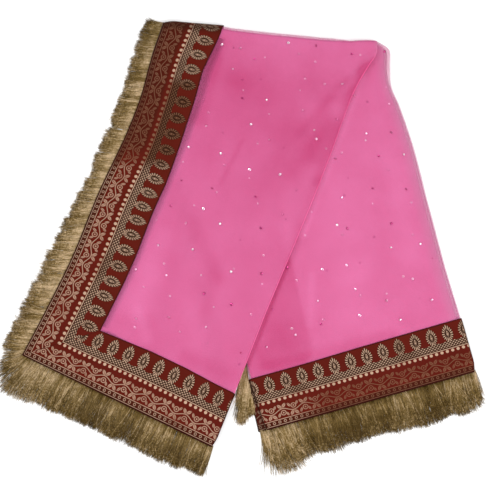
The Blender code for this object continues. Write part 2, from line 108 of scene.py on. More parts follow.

# %% [markdown]
# ## Folds and ripples
#
# Net holds soft, shallow folds where it was creased or pulled.  Each one is a ridge (or a
# trough, with a height below zero) along a line, and fades out sideways over its half width.
# They are placed one by one, because a fold says how the cloth was handled, and chance does not.

# %% Creases
# Each row: x and y where it starts, x and y where it ends, half width and height, in mm.
LEFT_CREASES = (
    (168, 262, 96, 205, 26, 1.3),
    (96, 205, 62, 120, 22, 0.8),
    (-20, 250, -62, 60, 34, 0.7),
    (60, 150, -20, -70, 32, 0.8),
    (176, 288, 118, 232, 9, -0.9),
    (118, 232, 70, 165, 12, -0.5),
    (165, 276, 128, 206, 7, 0.8),
    (20, 262, 34, 120, 16, -0.5),
    (-60, 30, -108, -90, 15, 0.5),
    (-20, -20, -62, -132, 12, -0.4),
)
RIGHT_CREASES = (
    (172, 190, 196, 60, 26, 0.9),
    (124, -10, 104, -92, 34, 0.8),
    (205, 20, 232, -60, 28, -0.5),
    (182, 268, 190, 190, 8, -0.6),
    (66, -4, 90, -104, 16, -0.9),
    (150, 80, 172, -30, 13, -0.4),
    (226, 40, 248, -60, 9, 0.4),
)

# %% Deeper and paler streaks, much of them painted shade and light
# Where more layers lie below, or a fold gathers the cloth, the pink is deeper.  Much of it is
# painted shade: along creases and folds, beside the tapes, and where one arm lies on the other;
# an amount below zero is paler, as painted light.  Each row: x, y and reach where the streak
# starts, x, y and reach where it ends, in mm, its amount, and the share of its reach over which
# it fades.
LEFT_STREAKS = (
    (0, 0, 1200, 1, 0, 1200, 0.17, 1),
    (-56, 272, 52, 14, 192, 80, 0.46, 1),
    (-55, 190, 64, -20, 110, 56, 0.16, 1),
    (106, 208, 22, 94, 128, 26, 0.34, 1),
    (0, 236, 46, 130, 228, 40, 0.26, 1),
    (112, 172, 26, 62, 108, 24, 0.42, 1),
    (52, 30, 20, 66, -30, 18, -0.30, 1),
    (-146, -84, 14, -134, -120, 14, -0.35, 1),
    (158, 250, 12, 128, 208, 12, 0.20, 1),
    (70, 164, 48, 28, 96, 46, 0.34, 1),
    (-82, -144, 18, -24, -170, 20, 0.34, 1),
    (109, 128, 6, 66, 16, 5, -0.20, 1),
    (161, 257, 14, 98, 94, 20, 0.66, 1),
    (176, 272, 7, 157, 252, 10, 0.80, 1),
    (137, 242, 9, 70, 162, 14, 0.26, 1),
    (-37, 297, 12, -69, 185, 22, 0.45, 1),
    (-73, 34, 17, -43, -38, 19, 0.26, 1),
    (-43, -38, 19, -57, -97, 14, 0.20, 1),
    (-9, 151, 5, -38, 89, 6, 0.30, 1),
    (98, 94, 16, 52, -19, 9, 0.30, 1),
    (-118, 19, 24, -146, -76, 38, -0.40, 1),
    (-77, -70, 20, -63, -137, 26, -0.20, 1),
    (18, 300, 17, 154, 288, 20, -0.12, 1),
    (150, 235, 12, 118, 222, 10, -0.15, 1),
)
RIGHT_STREAKS = (
    (53, -8, 3, 46, -131, 43, 0.48, 0.25),
    (42, -131, 42, 8, -160, 26, 0.30, 0.8),
    (53, -17, 5, -1, -156, 5, 0.60, 1),
    (84, -34, 9, 82, -100, 12, -0.30, 1),
    (130, 69, 46, 134, -82, 60, -0.26, 1),
    (195, 140, 26, 222, -14, 30, -0.20, 1),
    (20, -160, 14, 190, -116, 16, 0.40, 1),
    (216, 180, 26, 276, -80, 26, -0.15, 1),
    (158, 250, 9, 72, 22, 10, -0.55, 1),
)

# %% Curves and distances
def smooth_through(stations, values, at):
    """A cubic curve through the table's values, for many places at once."""
    slopes = np.gradient(values, stations)
    i = np.clip(np.searchsorted(stations, at) - 1, 0, len(stations) - 2)
    span = stations[i + 1] - stations[i]
    u = (at - stations[i]) / span
    start = values[i] * (1 + 2 * u) * (1 - u) ** 2 + slopes[i] * span * u * (1 - u) ** 2
    end = values[i + 1] * u * u * (3 - 2 * u) + slopes[i + 1] * span * u * u * (u - 1)
    return start + end


def smoothstep(x):
    x = np.clip(x, 0, 1)
    return x * x * (3 - 2 * x)


def at_marks(table, along):
    """Read a table of marks and values, both in mm, at distances in metres."""
    return np.interp(along, *np.array(table, float).T * MM)


def unit(vectors):
    """The same directions, each of length 1."""
    return vectors / np.linalg.norm(vectors, axis=-1, keepdims=True)


class Line:
    """A line of straight pieces, seen from above, that can be measured along and away from."""

    def __init__(self, points):
        self.points = np.asarray(points, float)
        self.runs = np.diff(self.points, axis=0)
        self.spans = np.linalg.norm(self.runs, axis=1)
        self.travelled = np.concatenate(([0], np.cumsum(self.spans)))
        self.length = float(self.travelled[-1])

    def locate(self, spots):
        """How far each place is from the line, and how far along it the nearest point lies."""
        x, y = spots[..., 0], spots[..., 1]
        away, along = np.full(x.shape, 1e9), np.zeros(x.shape)
        for start, run, span, before in zip(self.points, self.runs, self.spans, self.travelled):
            share = ((x - start[0]) * run[0] + (y - start[1]) * run[1]) / span ** 2
            share = np.clip(share, 0, 1)
            gap = np.hypot(x - start[0] - share * run[0], y - start[1] - share * run[1])
            closer = gap < away
            away = np.where(closer, gap, away)
            along = np.where(closer, before + share * span, along)
        return away, along

    def frame(self, along):
        """The point, the unit direction and the unit direction to its left, at each distance."""
        along = np.asarray(along, float)
        i = np.clip(np.searchsorted(self.travelled, along) - 1, 0, len(self.spans) - 1)
        middles = (self.travelled[1:] + self.travelled[:-1]) / 2
        ways = self.runs / self.spans[:, None]
        way = unit(np.stack([np.interp(along, middles, ways[:, k]) for k in (0, 1)], axis=-1))
        share = (along - self.travelled[i]) / self.spans[i]
        point = self.points[i] + self.runs[i] * share[..., None]
        return point, way, np.stack((-way[..., 1], way[..., 0]), axis=-1)


def marked_line(*points):
    """A line through places of the tables, in mm."""
    return Line(np.array(points) * MM - OUTLINE_CENTRE)


# %% [markdown]
# ## One arm as a surface
#
# The class below turns a table of sections into a surface.  A place on an arm is given by its
# column (distance from the left edge) and row (distance down from the top fold), as a tailor
# would chalk it on the cloth.  Net, layers, tape, sequins and stitches all ask the same surface
# where they lie, each with its own distance out from it, so nothing sewn on can float or sink.

# %% The arm class
RIPPLE_WAVES = 7
BROAD_RIPPLE = (70 * MM, 0.2 * MM)         # length and height
FINE_RIPPLE = (24 * MM, 0.05 * MM)
PUCKER_PITCH, PUCKER_WANDER = 5.2 * MM, 31 * MM
PUCKER_HEIGHT, PUCKER_REACH = 0.12 * MM, 9 * MM


def ripples(spots, seed, wavelength, height):
    """Uneven low waves: a sum of a few sine waves that run in different directions."""
    x, y = spots[..., 0], spots[..., 1]
    draw = np.random.default_rng(seed)
    total = 0 * x
    for _ in range(RIPPLE_WAVES):
        angle = draw.uniform(0, math.pi)
        length = wavelength * draw.uniform(0.6, 1.5)
        across = x * math.cos(angle) + y * math.sin(angle)
        total = total + np.sin(across * 2 * math.pi / length + draw.uniform(0, 2 * math.pi))
    return total * height / 3


def cloth_depth_and_shade(spots, streaks):
    """How deep the pink is at places on the cloth, with its painted shade and light: the sum of its
    streaks.
    """
    total = 0 * spots[..., 0]
    for x0, y0, reach0, x1, y1, reach1, amount, blur in streaks:
        line = marked_line((x0, y0), (x1, y1))
        away, along = line.locate(spots)
        reach = (reach0 + (reach1 - reach0) * along / line.length) * MM
        total = total + amount * smoothstep((1 - away / reach) / blur)
    return total


class Arm:
    """One arm of the folded stole: its outline seen from above and the height of its face."""

    def __init__(self, sections, creases, streaks, open_left, top, seed, lower_line=None):
        sections = np.array(sections, float)
        self.stations = sections[:, 0]
        self.ends = sections[:, 1:] * MM - np.tile(OUTLINE_CENTRE, 2)
        self.drop = float(np.hypot(*(self.ends[-1] - self.ends[0])[:2]))
        self.folds = []
        for x0, y0, x1, y1, half_width, height in creases:
            self.folds.append((marked_line((x0, y0), (x1, y1)), half_width * MM, height * MM))
        self.streaks, self.top, self.seed = streaks, top, seed
        self.lower_line = lower_line
        middle = self.plan_share(np.full(2, 0.5), np.array((0.0, 1.0)))
        self.length = float(np.linalg.norm(middle[1] - middle[0]))
        down = np.linspace(0, 1, 27)
        self.left_side = Line(self.plan_share(0 * down, down))
        self.hem = Line(self.plan_share(np.array((0.0, 1.0)), np.ones(2)))
        self.seams = [(self.hem, END_TAPE)]
        if open_left:
            self.seams.append((self.left_side, SIDE_TAPE))

    def plan_share(self, across, along):
        ends = [smooth_through(self.stations, self.ends[:, k], along) for k in range(4)]
        x = ends[0] + (ends[2] - ends[0]) * across
        y = ends[1] + (ends[3] - ends[1]) * across
        sag = at_marks(SAG, x + OUTLINE_CENTRE[0])
        sag = sag * (1 - smoothstep(along * self.drop / SAG_FADE))
        return np.stack((x, y - sag), axis=-1)

    def width(self, row):
        along = np.asarray(row, float) / self.length
        ends = self.plan_share(np.ones_like(along), along) - self.plan_share(0 * along, along)
        return np.linalg.norm(ends, axis=-1)

    def plan(self, column, row):
        return self.plan_share(column / self.width(row), row / self.length)

    def lift(self, spots):
        """How far the arm's underside is off the ground; only the left arm is lifted."""
        x, y = spots[..., 0], spots[..., 1]
        if self.lower_line is None:
            return 0 * x
        (x0, y0), (x1, y1) = self.lower_line.points[[0, -1]]
        inside = (x1 - x0) * (y - y0) - (y1 - y0) * (x - x0) > 0
        slope = smoothstep(1 - (self.lower_line.locate(spots)[0] - LIFT_CLEAR) / LIFT_RUN)
        return ARM_ON_ARM * np.where(inside, 1.0, slope)

    def height(self, spots):
        """The height of the net face, with the seams' droop and puckers, folds and ripples."""
        edge, puckers = 1e9, 0.0
        for line, width in self.seams:
            away, along = line.locate(spots)
            edge = np.minimum(edge, away)
            wave = np.sin(along / PUCKER_PITCH + 1.7 * np.sin(along / PUCKER_WANDER))
            near = np.exp(-((away - width) / PUCKER_REACH) ** 2)
            puckers = puckers + PUCKER_HEIGHT * wave * near
        rise = np.sin(math.pi / 2 * np.clip(edge / DROOP, 0, 1))
        z = self.lift(spots) + OPEN_EDGE + (ARM_TOP - OPEN_EDGE) * rise + puckers
        for line, half_width, height in self.folds:
            near = line.locate(spots)[0] / half_width
            z = z + height * np.clip(1 - near * near, 0, 1) ** 2
        z = z + ripples(spots, self.seed, *BROAD_RIPPLE)
        return z + ripples(spots, self.seed + 1, *FINE_RIPPLE)

    def surface(self, spots, out=0.0):
        """Places seen from above put on the face and moved out from it by the distance given."""
        step = 0.5 * MM
        falls = [(self.height(spots - shift) - self.height(spots + shift)) / (2 * step)
                 for shift in np.eye(2) * step]
        normal = unit(np.stack((*falls, 0 * falls[0] + 1), axis=-1))
        return np.concatenate((spots, self.height(spots)[..., None]), axis=-1) + normal * out

    def top_line(self):
        """The edge at which the face meets the top fold."""
        return Line(self.plan(np.array((0.0, float(self.width(self.top)))), np.full(2, self.top)))


right_arm = Arm(RIGHT_ARM, RIGHT_CREASES, RIGHT_STREAKS, open_left=False, top=RIGHT_TOP, seed=5)
left_arm = Arm(LEFT_ARM, LEFT_CREASES, LEFT_STREAKS, open_left=True, top=TOP_ROLL, seed=9,
               lower_line=right_arm.left_side)
print("arm lengths (m):", round(left_arm.length, 3), round(right_arm.length, 3))

# %% [markdown]
# ## From a table of places to a sheet
#
# A sheet starts as Blender's own grid, whose corners are then put where the arm's surface wants
# them.  Solidify makes it a thin closed shell, since real cloth has two sides and an edge.  Its
# UV map is kept in metres along and across the piece, so a woven pattern can be drawn at its
# true scale and follows the cloth round every fold.

# %% Sheet maker
def start_from(add, **settings):
    """A new primitive, with nothing else selected."""
    bpy.ops.object.select_all(action="DESELECT")
    add(**settings)
    return bpy.context.object


def grid_piece(name, spots, uv):
    """Blender's grid, shaped to an array of places (rows, columns, xyz) with its own UV map."""
    rows, columns = spots.shape[:2]
    piece = start_from(bpy.ops.mesh.primitive_grid_add, x_subdivisions=columns - 1,
                       y_subdivisions=rows - 1, size=1)
    piece.name = piece.data.name = name
    mesh = piece.data
    corners = np.ascontiguousarray(spots[::-1], dtype=np.float32)
    mesh.vertices.foreach_set("co", corners.ravel())
    owners = np.empty(len(mesh.loops), dtype=np.int32)
    mesh.loops.foreach_get("vertex_index", owners)
    flat = np.ascontiguousarray(uv[::-1], dtype=np.float32).reshape(-1, 2)
    mesh.uv_layers[0].data.foreach_set("uv", flat[owners].ravel())
    mesh.update()
    return piece


def write_values(piece, name, values):
    """Keep a number at every corner of a mesh, for its finish to read."""
    layer = piece.data.attributes.new(name, "FLOAT", "POINT")
    layer.data.foreach_set("value", np.ascontiguousarray(values, dtype=np.float32).ravel())


def corners_of(piece):
    """The place of every corner of a mesh, and how squarely it faces up."""
    corners = piece.data.vertices
    return np.array([v.co[:] for v in corners]), np.array([v.normal.z for v in corners])


GLOW_FROM = 0.285                # in m up from the middle: below here the left fold gets a painted glow


def write_folds(piece, arm):
    """Keep how steeply each corner of a net faces, as "steep" or as "glow".

    A fold on the ground looks thin and pale, partly by its transparency and partly by a painted
    pale tint and a faint painted glow; one that lies on the other arm gets a painted pink glow."""
    places, upward = corners_of(piece)
    steep = smoothstep((0.9 - np.abs(upward)) / 0.7)
    on_arm = 0 * steep
    if arm.lower_line is not None:
        on_arm = smoothstep((GLOW_FROM - places[:, 1]) / (40 * MM))
    below = 1.5 * smoothstep((2.4 * MM - places[:, 2]) / MM)
    write_values(piece, "steep", np.maximum(steep, below) * (1 - on_arm))
    write_values(piece, "glow", steep * on_arm)


# The depth of the pink at every corner, with its painted shade and light.
def write_depth_and_shade(piece, arm):
    places = corners_of(piece)[0]
    write_values(piece, "depth", cloth_depth_and_shade(places, arm.streaks))


def make_shell(piece, thickness):
    """Give a sheet its thickness, inwards from the face that was laid."""
    wall = piece.modifiers.new("shell", "SOLIDIFY")
    wall.thickness, wall.offset = thickness, -1
    bpy.ops.object.modifier_apply(modifier=wall.name)
    bpy.ops.object.shade_smooth()


def spread(start, end, step):
    """Evenly spaced marks from start to end, no further apart than the step."""
    return np.linspace(start, end, max(1, int(math.ceil((end - start) / step))) + 1)


ROLL_STEPS = 8


def roll(lines, at_start, radius, turn, steps=ROLL_STEPS):
    """Carry a sheet's first or last line of places on round a fold, in part of a circle."""
    edge, inner = (lines[0], lines[1]) if at_start else (lines[-1], lines[-2])
    way = edge - inner
    way[..., 2] = 0
    way = unit(way)
    grown = []
    for k in range(1, steps + 1):
        angle = turn * k / steps
        drop = np.zeros_like(edge)
        drop[..., 2] = radius * (1 - math.cos(angle))
        grown.append(edge + way * (radius * math.sin(angle))[..., None] - drop)
    return grown[::-1] + lines if at_start else lines + grown


def cloth_lengths(lines):
    """How far each line of places lies along the cloth from the first, on average."""
    steps = [np.linalg.norm(b - a, axis=-1).mean() for a, b in zip(lines[:-1], lines[1:])]
    return np.concatenate(([0], np.cumsum(steps)))


# %% [markdown]
# ## The net faces
#
# The net is one cloth: it wraps round the folded sides of each arm and over the top fold.  Net
# is too springy to crease sharply, so the sheet is carried on round almost half a circle there.

# %% Net faces
NET_STEP = 3.2 * MM
NET_HEM = 5 * MM                 # the net ends this far inside the tape's outer edge
NET_TURN = math.radians(150)


def net_sheet(name, arm, roll_left):
    """The face panel of one arm, rolled under along its folds; also its (width, length)."""
    rows = spread(arm.top, arm.length - NET_HEM, NET_STEP)
    count = len(spread(0, float(arm.width(arm.length / 2)), NET_STEP))
    first = SIDE_ROLL if roll_left else NET_HEM
    last = arm.width(rows) - SIDE_ROLL
    column = first + (last[:, None] - first) * np.linspace(0, 1, count)
    grid = arm.surface(arm.plan(column, rows[:, None] + 0 * column))
    lines = list(np.moveaxis(grid, 1, 0))
    lines = roll(lines, False, (lines[-1][:, 2] - arm.lift(lines[-1])) / 2, NET_TURN)
    if roll_left:
        lines = roll(lines, True, lines[0][:, 2] / 2, NET_TURN)
    grid = np.stack(lines, axis=1)
    top = grid[0]
    from_corner = np.linalg.norm(top[:, :2] - top[-1 - ROLL_STEPS, :2], axis=1)
    from_corner[-ROLL_STEPS:] = 0
    ground = arm.lift(top) * smoothstep(1 - (from_corner - CORNER_CLEAR) / LIFT_RUN)
    reach = np.maximum(top[:, 2] - ground, 2 * NET_SHELL) / 2
    lines = roll(list(grid), True, reach, NET_TURN)
    grid = np.stack(lines)
    grid[..., 2] = np.maximum(grid[..., 2], NET_SHELL + CLEAR)
    down, across = cloth_lengths(lines), cloth_lengths(list(np.moveaxis(grid, 1, 0)))
    piece = grid_piece(name, grid, np.stack(np.meshgrid(across, -down), axis=-1))
    make_shell(piece, NET_SHELL)
    write_folds(piece, arm)
    write_depth_and_shade(piece, arm)
    print(name, "corners", grid.shape[:2], "cloth (m):", across[-1].round(3), down[-1].round(3))
    return piece, (float(across[-1]), float(down[-1]))


left_net, left_net_size = net_sheet("left_net", left_arm, roll_left=False)
right_net, right_net_size = net_sheet("right_net", right_arm, roll_left=True)

# %% [markdown]
# ## The layers inside
#
# Below each face lie the two other thirds of the folded stole.  Nothing shows of them but their
# pink, dimly, and their rounded folds at the sides, so they share one puffy body with a flat
# underside.  Each row of the body is a closed ring: over the top, down one side in three
# bulges, one for each layer, back along the ground and up the other side.

# %% Layered body
BODY_BELOW_TOP, BODY_ABOVE_HEM, BODY_STEP = 1.5 * MM, 11 * MM, 5 * MM
LAYERS = 3
FACE_GAP = 1.2 * MM          # the layers lie this far below the net face
BODY_CLEAR = 0.3 * MM        # and this far off what they lie on
LAYER_SWELL = 0.9 * MM       # how far the rounded edge of each layer swells
LAYER_STEP = 1.6 * MM        # how much further each lower layer sticks out at an open edge
FOLD_INSET = 1.6 * MM        # the layers end this far inside a folded side
# Inside the right arm's outer fold they end further in: rows down from the top and insets, in mm.
RIGHT_INSET = ((0, 6), (52, 6), (80, 3), (130, 3), (300, 2.6), (600, 2))
# Towards a folded side the layers look paler: rows down from the top, and over what width, in mm.
LEFT_THIN = ((0, 6), (60, 0.5), (600, 0.5))
RIGHT_THIN = ((0, 20), (55, 16), (85, 16), (130, 20), (380, 22), (600, 20))
THINNEST = 0.02              # how solid the layers look right at the fold
CORNER_ROWS = (5, 25)        # mm down from the top: the left fold's layers turn solid in between
# The smaller rings that close an end: share of the full height, and mm beyond the last full ring.
CLOSING = ((0.0, 0.6), (0.55, 1.2), (0.85, 3.0))
RING_COLUMNS, RING_CROWDING = 70, 1.2      # places over the top, crowded towards the right


def body_ring(arm, row, open_left):
    """One closed ring of places round an arm's layers, and how solid they look at each."""
    width = float(arm.width(row))
    left = DROOP * 0.85 if open_left else 2 * FOLD_INSET
    inset = FOLD_INSET if open_left else at_marks(RIGHT_INSET, row)
    crowded = np.linspace(1, 0, RING_COLUMNS) ** RING_CROWDING
    column = width - inset - crowded * (width - inset - left)
    plan = arm.plan(column, np.full(len(column), row))
    top = arm.surface(plan, -FACE_GAP)
    bottom = np.column_stack((plan, arm.lift(plan) + BODY_CLEAR))

    def side(start, end, outward, step):
        depth = np.linspace(0, 1, 3 * LAYERS + 1)[1:-1, None]
        bulge = LAYER_SWELL * np.abs(np.sin(LAYERS * math.pi * depth))
        out = bulge + step * np.floor(LAYERS * depth - 1e-6)
        return start + (end - start) * depth + np.append(outward, 0) * out

    across = unit(plan[-1] - plan[0])
    right_side = side(top[-1], bottom[-1], across, 0)
    left_side = side(top[0], bottom[0], -across, LAYER_STEP if open_left else 0)
    ring = np.concatenate((top, right_side, bottom[::-1], left_side[::-1], top[:1]))
    thin = at_marks(LEFT_THIN if open_left else RIGHT_THIN, row)
    thinnest = np.interp(row / MM, CORNER_ROWS, (THINNEST, 1)) if open_left else THINNEST
    solid = smoothstep((width - inset - column) / thin) * (1 - thinnest) + thinnest
    solid = np.concatenate((solid, np.full(len(right_side), thinnest), solid[::-1],
                            np.ones(len(left_side) + 1)))
    return np.column_stack((ring, solid))


def layered_body(name, arm, open_left):
    """The body of hidden layers: rings from the top fold to the hem, closed at both ends."""
    rows = spread(arm.top + BODY_BELOW_TOP, arm.length - BODY_ABOVE_HEM, BODY_STEP)
    rings = [body_ring(arm, row, open_left) for row in rows]

    def closing(ring, inner):
        """Smaller rings beyond an end, down to one that lies shut at half height."""
        away = ring - inner
        away[:, 2:] = 0
        away = unit(away)
        middle = (ring[:, 2].min() + ring[:, 2].max()) / 2
        caps = []
        for share, beyond in CLOSING:
            cap = ring + away * beyond * MM
            cap[:, 2] = middle + (ring[:, 2] - middle) * share
            caps.append(cap)
        return caps

    head = closing(rings[0], rings[1])
    tail = closing(rings[-1], rings[-2])
    grid = np.stack(head + rings + tail[::-1])
    uv = np.stack(np.meshgrid(*map(np.arange, grid.shape[1::-1])), -1) * BODY_STEP
    piece = grid_piece(name, grid[..., :3], uv)
    write_values(piece, "solid", grid[::-1, :, 3])
    write_depth_and_shade(piece, arm)
    bpy.ops.object.mode_set(mode="EDIT")
    bpy.ops.mesh.select_all(action="SELECT")
    bpy.ops.mesh.remove_doubles(threshold=0.01 * MM)
    bpy.ops.mesh.normals_make_consistent(inside=False)
    bpy.ops.object.mode_set(mode="OBJECT")
    bpy.ops.object.shade_smooth()
    print(name, "corners", len(piece.data.vertices))
    return piece


left_layers = layered_body("left_layers", left_arm, open_left=True)
right_layers = layered_body("right_layers", right_arm, open_left=False)

# %% [markdown]
# ## The border tape
#
# The tape is a jacquard ribbon, woven flat in one width and sewn on along both its edges.  At
# the corner of the stole it is mitred: folded on the slant, so that its pattern turns with it.
# Each length is therefore laid as a ribbon is, by how far along the cloth's edge and how far in
# from it a place lies.  Those two distances are also its UV map, so the weave turns the corner
# by itself.  Where the real seam wanders, the width at a few marks along the edge follows it.

# %% Tape sizes
TAPE_STEP = 2.0 * MM
TAPE_STRIPS = 30                 # mesh strips across a tape
TAPE_PATTERN = 75 * MM           # width of the woven pattern, as drawn
EDGE_FOLD = 0.9 * MM             # radius of the tape's turned edge
EDGE_STEPS = 4
TAPE_TURN = math.radians(140)
LEAST_FOLD = 0.5 * MM            # a tape never folds tighter than round this height
TAPE_LOWEST = 0.35 * MM          # its turned end stays this far above the ground
FOLD_SHADE = 11 * MM             # below the top fold the tape gets a soft painted shade this wide
MITRE_WIDTHS = (78 * MM, 72.5 * MM)        # of the side and the end tape where they meet
MITRE_LAP = 4 * MM               # at the mitre the side tape runs on under the end tape
END_OUT = TAPE_OUT + 0.35 * MM   # so the left end tape lies a little further out
HEM_ZONE = 95 * MM               # rows up from the hem that an end tape can reach
# Marks along the edge, in mm from its start, and the tape's width there.
SIDE_WIDTHS = ((0, 81), (60, 74), (136, 74.5), (219, 79.5), (322, 80), (398, 78), (506, 78))
LEFT_END_WIDTHS = ((0, 72.5), (80, 72.5), (150, 76.5), (200, 76.5), (277, 73))
RIGHT_END_WIDTHS = ((0, 68.6), (70, 68.6), (136, 70), (204, 70.8), (287, 71.5))
# Where the middle of a leaf motif falls: marks along the edge, and how far past a whole repeat
# of the pattern.
SIDE_EASE = ((0, 14), (30, 14.5), (63, 18.5), (111, 23), (165, 23), (205, 18.5), (350, 20.5),
             (395, 17), (506, 17))
LEFT_END_EASE = ((0, 15.8), (277, 15.2))
RIGHT_END_EASE = ((0, 20), (120, 20.4), (287, 21.8))

# %% Ribbon maker
def ribbon_plan(line, begin, end, widths):
    """Places seen from above, and their distances along and in, for a ribbon on an edge line.

    begin and end give the first and last distance along for each share of the width, 0 to 1."""
    share = np.linspace(0, 1, TAPE_STRIPS + 1)
    count = max(2, int(math.ceil(float((end(share) - begin(share)).max()) / TAPE_STEP)))
    run = np.linspace(0, 1, count + 1)[:, None]
    along = begin(share) + (end(share) - begin(share)) * run
    share = share + 0 * along
    point, _, inward = line.frame(along)
    return point + inward * (share * at_marks(widths, along))[..., None], along, share


def side_table(arm, line, side, widths):
    """For each share of an end tape's width, the distance along at which it meets a fold."""
    rows = np.linspace(arm.length - HEM_ZONE, arm.length, 40)
    column = SIDE_ROLL if side == "left" else arm.width(rows) - SIDE_ROLL
    place = arm.plan(column + 0 * rows, rows) - line.points[0]
    way = line.runs[0] / line.spans[0]
    along = place @ way
    share = place @ np.array((-way[1], way[0])) / at_marks(widths, along)
    return lambda at: np.interp(at, share[::-1], along[::-1])


def corner_mitre(side_line, end_line, side_width, end_width):
    """How far the mitre reaches along both edges of the cloth, from the outer corner."""
    up = -side_line.runs[-1] / side_line.spans[-1]
    right = end_line.runs[0] / end_line.spans[0]
    lean = float(up @ right)
    sine = math.sqrt(1 - lean * lean)
    along_end, along_side = side_width / sine, end_width / sine
    return along_side + along_end * lean, along_end + along_side * lean


def fold_start(line, arm, widths):
    """For each share of the side tape's width, the distance along at which the top fold is."""
    fold = arm.top_line()
    first, way = fold.points[0], fold.runs[0] / fold.spans[0]
    tries = np.linspace(-40, 80, 121) * MM

    def begin(share):
        starts = []
        for s in np.ravel(share):
            point, _, inward = line.frame(tries)
            offset = point + inward * (s * at_marks(widths, tries))[:, None] - first
            below = offset[:, 0] * way[1] - offset[:, 1] * way[0]
            starts.append(np.interp(0, below, tries))
        return np.array(starts).reshape(np.shape(share))

    return begin


def write_turned_and_shade(piece, fold=None):
    """Keep how far each corner of a tape is turned away from above, for a painted shade on its
    folds; a strip below the top fold also gets a painted shade.
    """
    places, upward = corners_of(piece)
    turned = smoothstep((0.95 - upward) / 0.6)
    if fold is not None:
        turned = np.maximum(turned, 0.8 * smoothstep(1 - fold.locate(places)[0] / FOLD_SHADE))
    write_values(piece, "turned", turned)


def finish_ribbon(name, grid, along, share, ease, folds, arm):
    """Turn the ribbon's outer edge under, carry it round the folds named and make its shell.

    The grid has lines along the edge first; share 0 is the outer edge."""
    lines = list(np.moveaxis(grid, 1, 0))
    lines = roll(lines, True, np.full(len(grid), EDGE_FOLD), TAPE_TURN, EDGE_STEPS)
    extra = -EDGE_FOLD * TAPE_TURN * np.arange(EDGE_STEPS, 0, -1) / EDGE_STEPS
    along = np.concatenate((np.repeat(along[:, :1], EDGE_STEPS, 1), along), axis=1)
    into = share * TAPE_PATTERN
    into = np.concatenate((np.repeat(extra[None], len(into), 0), into), axis=1)
    lines, marks = list(np.stack(lines, axis=1)), list(along)
    for fold in folds:
        at_start = fold == "start"
        edge = lines[0] if at_start else lines[-1]
        ground = 0 if at_start and arm is left_arm else arm.lift(edge)
        reach = np.maximum(edge[:, 2] - TAPE_OUT - ground, LEAST_FOLD) / 2 + TAPE_OUT
        reach = np.minimum(reach, (edge[:, 2] - TAPE_LOWEST) / (1 - math.cos(TAPE_TURN)))
        lines = roll(lines, at_start, reach, TAPE_TURN)
        past = [reach * TAPE_TURN * (k + 1) / ROLL_STEPS for k in range(ROLL_STEPS)]
        if at_start:
            marks = [marks[0] - far for far in past[::-1]] + marks
        else:
            marks = marks + [marks[-1] + far for far in past]
    grid, along = np.stack(lines), np.stack(marks)
    grid[..., 2] = np.maximum(grid[..., 2], TAPE_SHELL + CLEAR)
    into = np.repeat(into[:1], len(grid), 0)
    uv = np.stack((along - at_marks(ease, along), into), axis=-1)
    if name.endswith("end_tape"):
        grid, uv = np.swapaxes(grid, 0, 1)[::-1], np.swapaxes(uv, 0, 1)[::-1]
    piece = grid_piece(name, grid, uv)
    make_shell(piece, TAPE_SHELL)
    write_turned_and_shade(piece, arm.top_line() if name.endswith("side_tape") else None)
    print(name, "corners", grid.shape[:2])
    return piece


# %% Lay the tapes
mitre_side, mitre_end = corner_mitre(left_arm.left_side, left_arm.hem, *MITRE_WIDTHS)


def tape(name, arm, line, begin, end, widths, ease, folds, out=TAPE_OUT):
    plan, along, share = ribbon_plan(line, begin, end, widths)
    grid = arm.surface(plan, out)
    piece = finish_ribbon(name, grid, along, share, ease, folds, arm)
    middle = along[:, TAPE_STRIPS // 2]
    return piece, (float(np.mean(at_marks(widths, middle))), float(middle[-1] - middle[0]))


side_line, left_hem, right_hem = left_arm.left_side, left_arm.hem, right_arm.hem
left_side_tape, left_side_size = tape(
    "left_side_tape", left_arm, side_line,
    fold_start(side_line, left_arm, SIDE_WIDTHS),
    lambda share: side_line.length - (mitre_side - MITRE_LAP) * share,
    SIDE_WIDTHS, SIDE_EASE, ("start",))
left_end_tape, left_end_size = tape(
    "left_end_tape", left_arm, left_hem,
    lambda share: mitre_end * share + 0.2 * MM,
    side_table(left_arm, left_hem, "right", LEFT_END_WIDTHS),
    LEFT_END_WIDTHS, LEFT_END_EASE, ("end",), END_OUT)
right_end_tape, right_end_size = tape(
    "right_end_tape", right_arm, right_hem,
    side_table(right_arm, right_hem, "left", RIGHT_END_WIDTHS),
    side_table(right_arm, right_hem, "right", RIGHT_END_WIDTHS),
    RIGHT_END_WIDTHS, RIGHT_END_EASE, ("start", "end"))
print("tapes, width x length (m):", left_side_size, left_end_size, right_end_size)

# %% [markdown]
# ## Tape that peeks out
#
# The layers of a folded stole never lie edge on edge.  Beside the right arm's left fold the end
# tape of the next layer shows as a narrow strip, darkened by painted shade.  Beside the left
# arm's border, tape of the layer below is seen through the net as a dark band, which also
# stands for the painted shade beside the tape above.  The first is laid as a short ribbon on the
# ground, the others as thin strips just under the net's face.

# %% Strips of the lower tapes
UNDER_TOP = 2.4 * MM             # height of the strip's face
UNDER_ROUND = 0.9 * MM           # and how far its edge sinks below that
UNDER_SHIFT = 6 * MM             # of its pattern along the hem
UNDER_IN = 1.3 * MM              # the strip starts this far outside the fold above it
UNDER_WIDTHS = ((0, 8.6), (69, 3.2))      # marks up from the hem, and how far it sticks out
UNDER_RISE, UNDER_TAPE = 69 * MM, 70 * MM       # how far up it goes, and the whole tape's width
UNDER_LINE = ((-4.5, -148), (-2, -171), (6.6, -211))     # the side edge its fringe hangs from, mm
STRIP_LAP, STRIP_DEEP = 4 * MM, 0.75 * MM       # under the tape above, and under the net's face
STRIP_STEP, STRIP_SHELL = 4 * MM, 0.25 * MM
# Marks along the edge, in mm, and how far the strip sticks out there.
SIDE_BULGES = ((4, 9), (20, 12), (60, 14), (110, 13), (170, 10), (210, 8), (255, 10), (300, 8),
               (428, 8))
CORNER_BULGES = ((1, 3.2), (10, 5), (40, 1))    # marks from the inner corner of the border


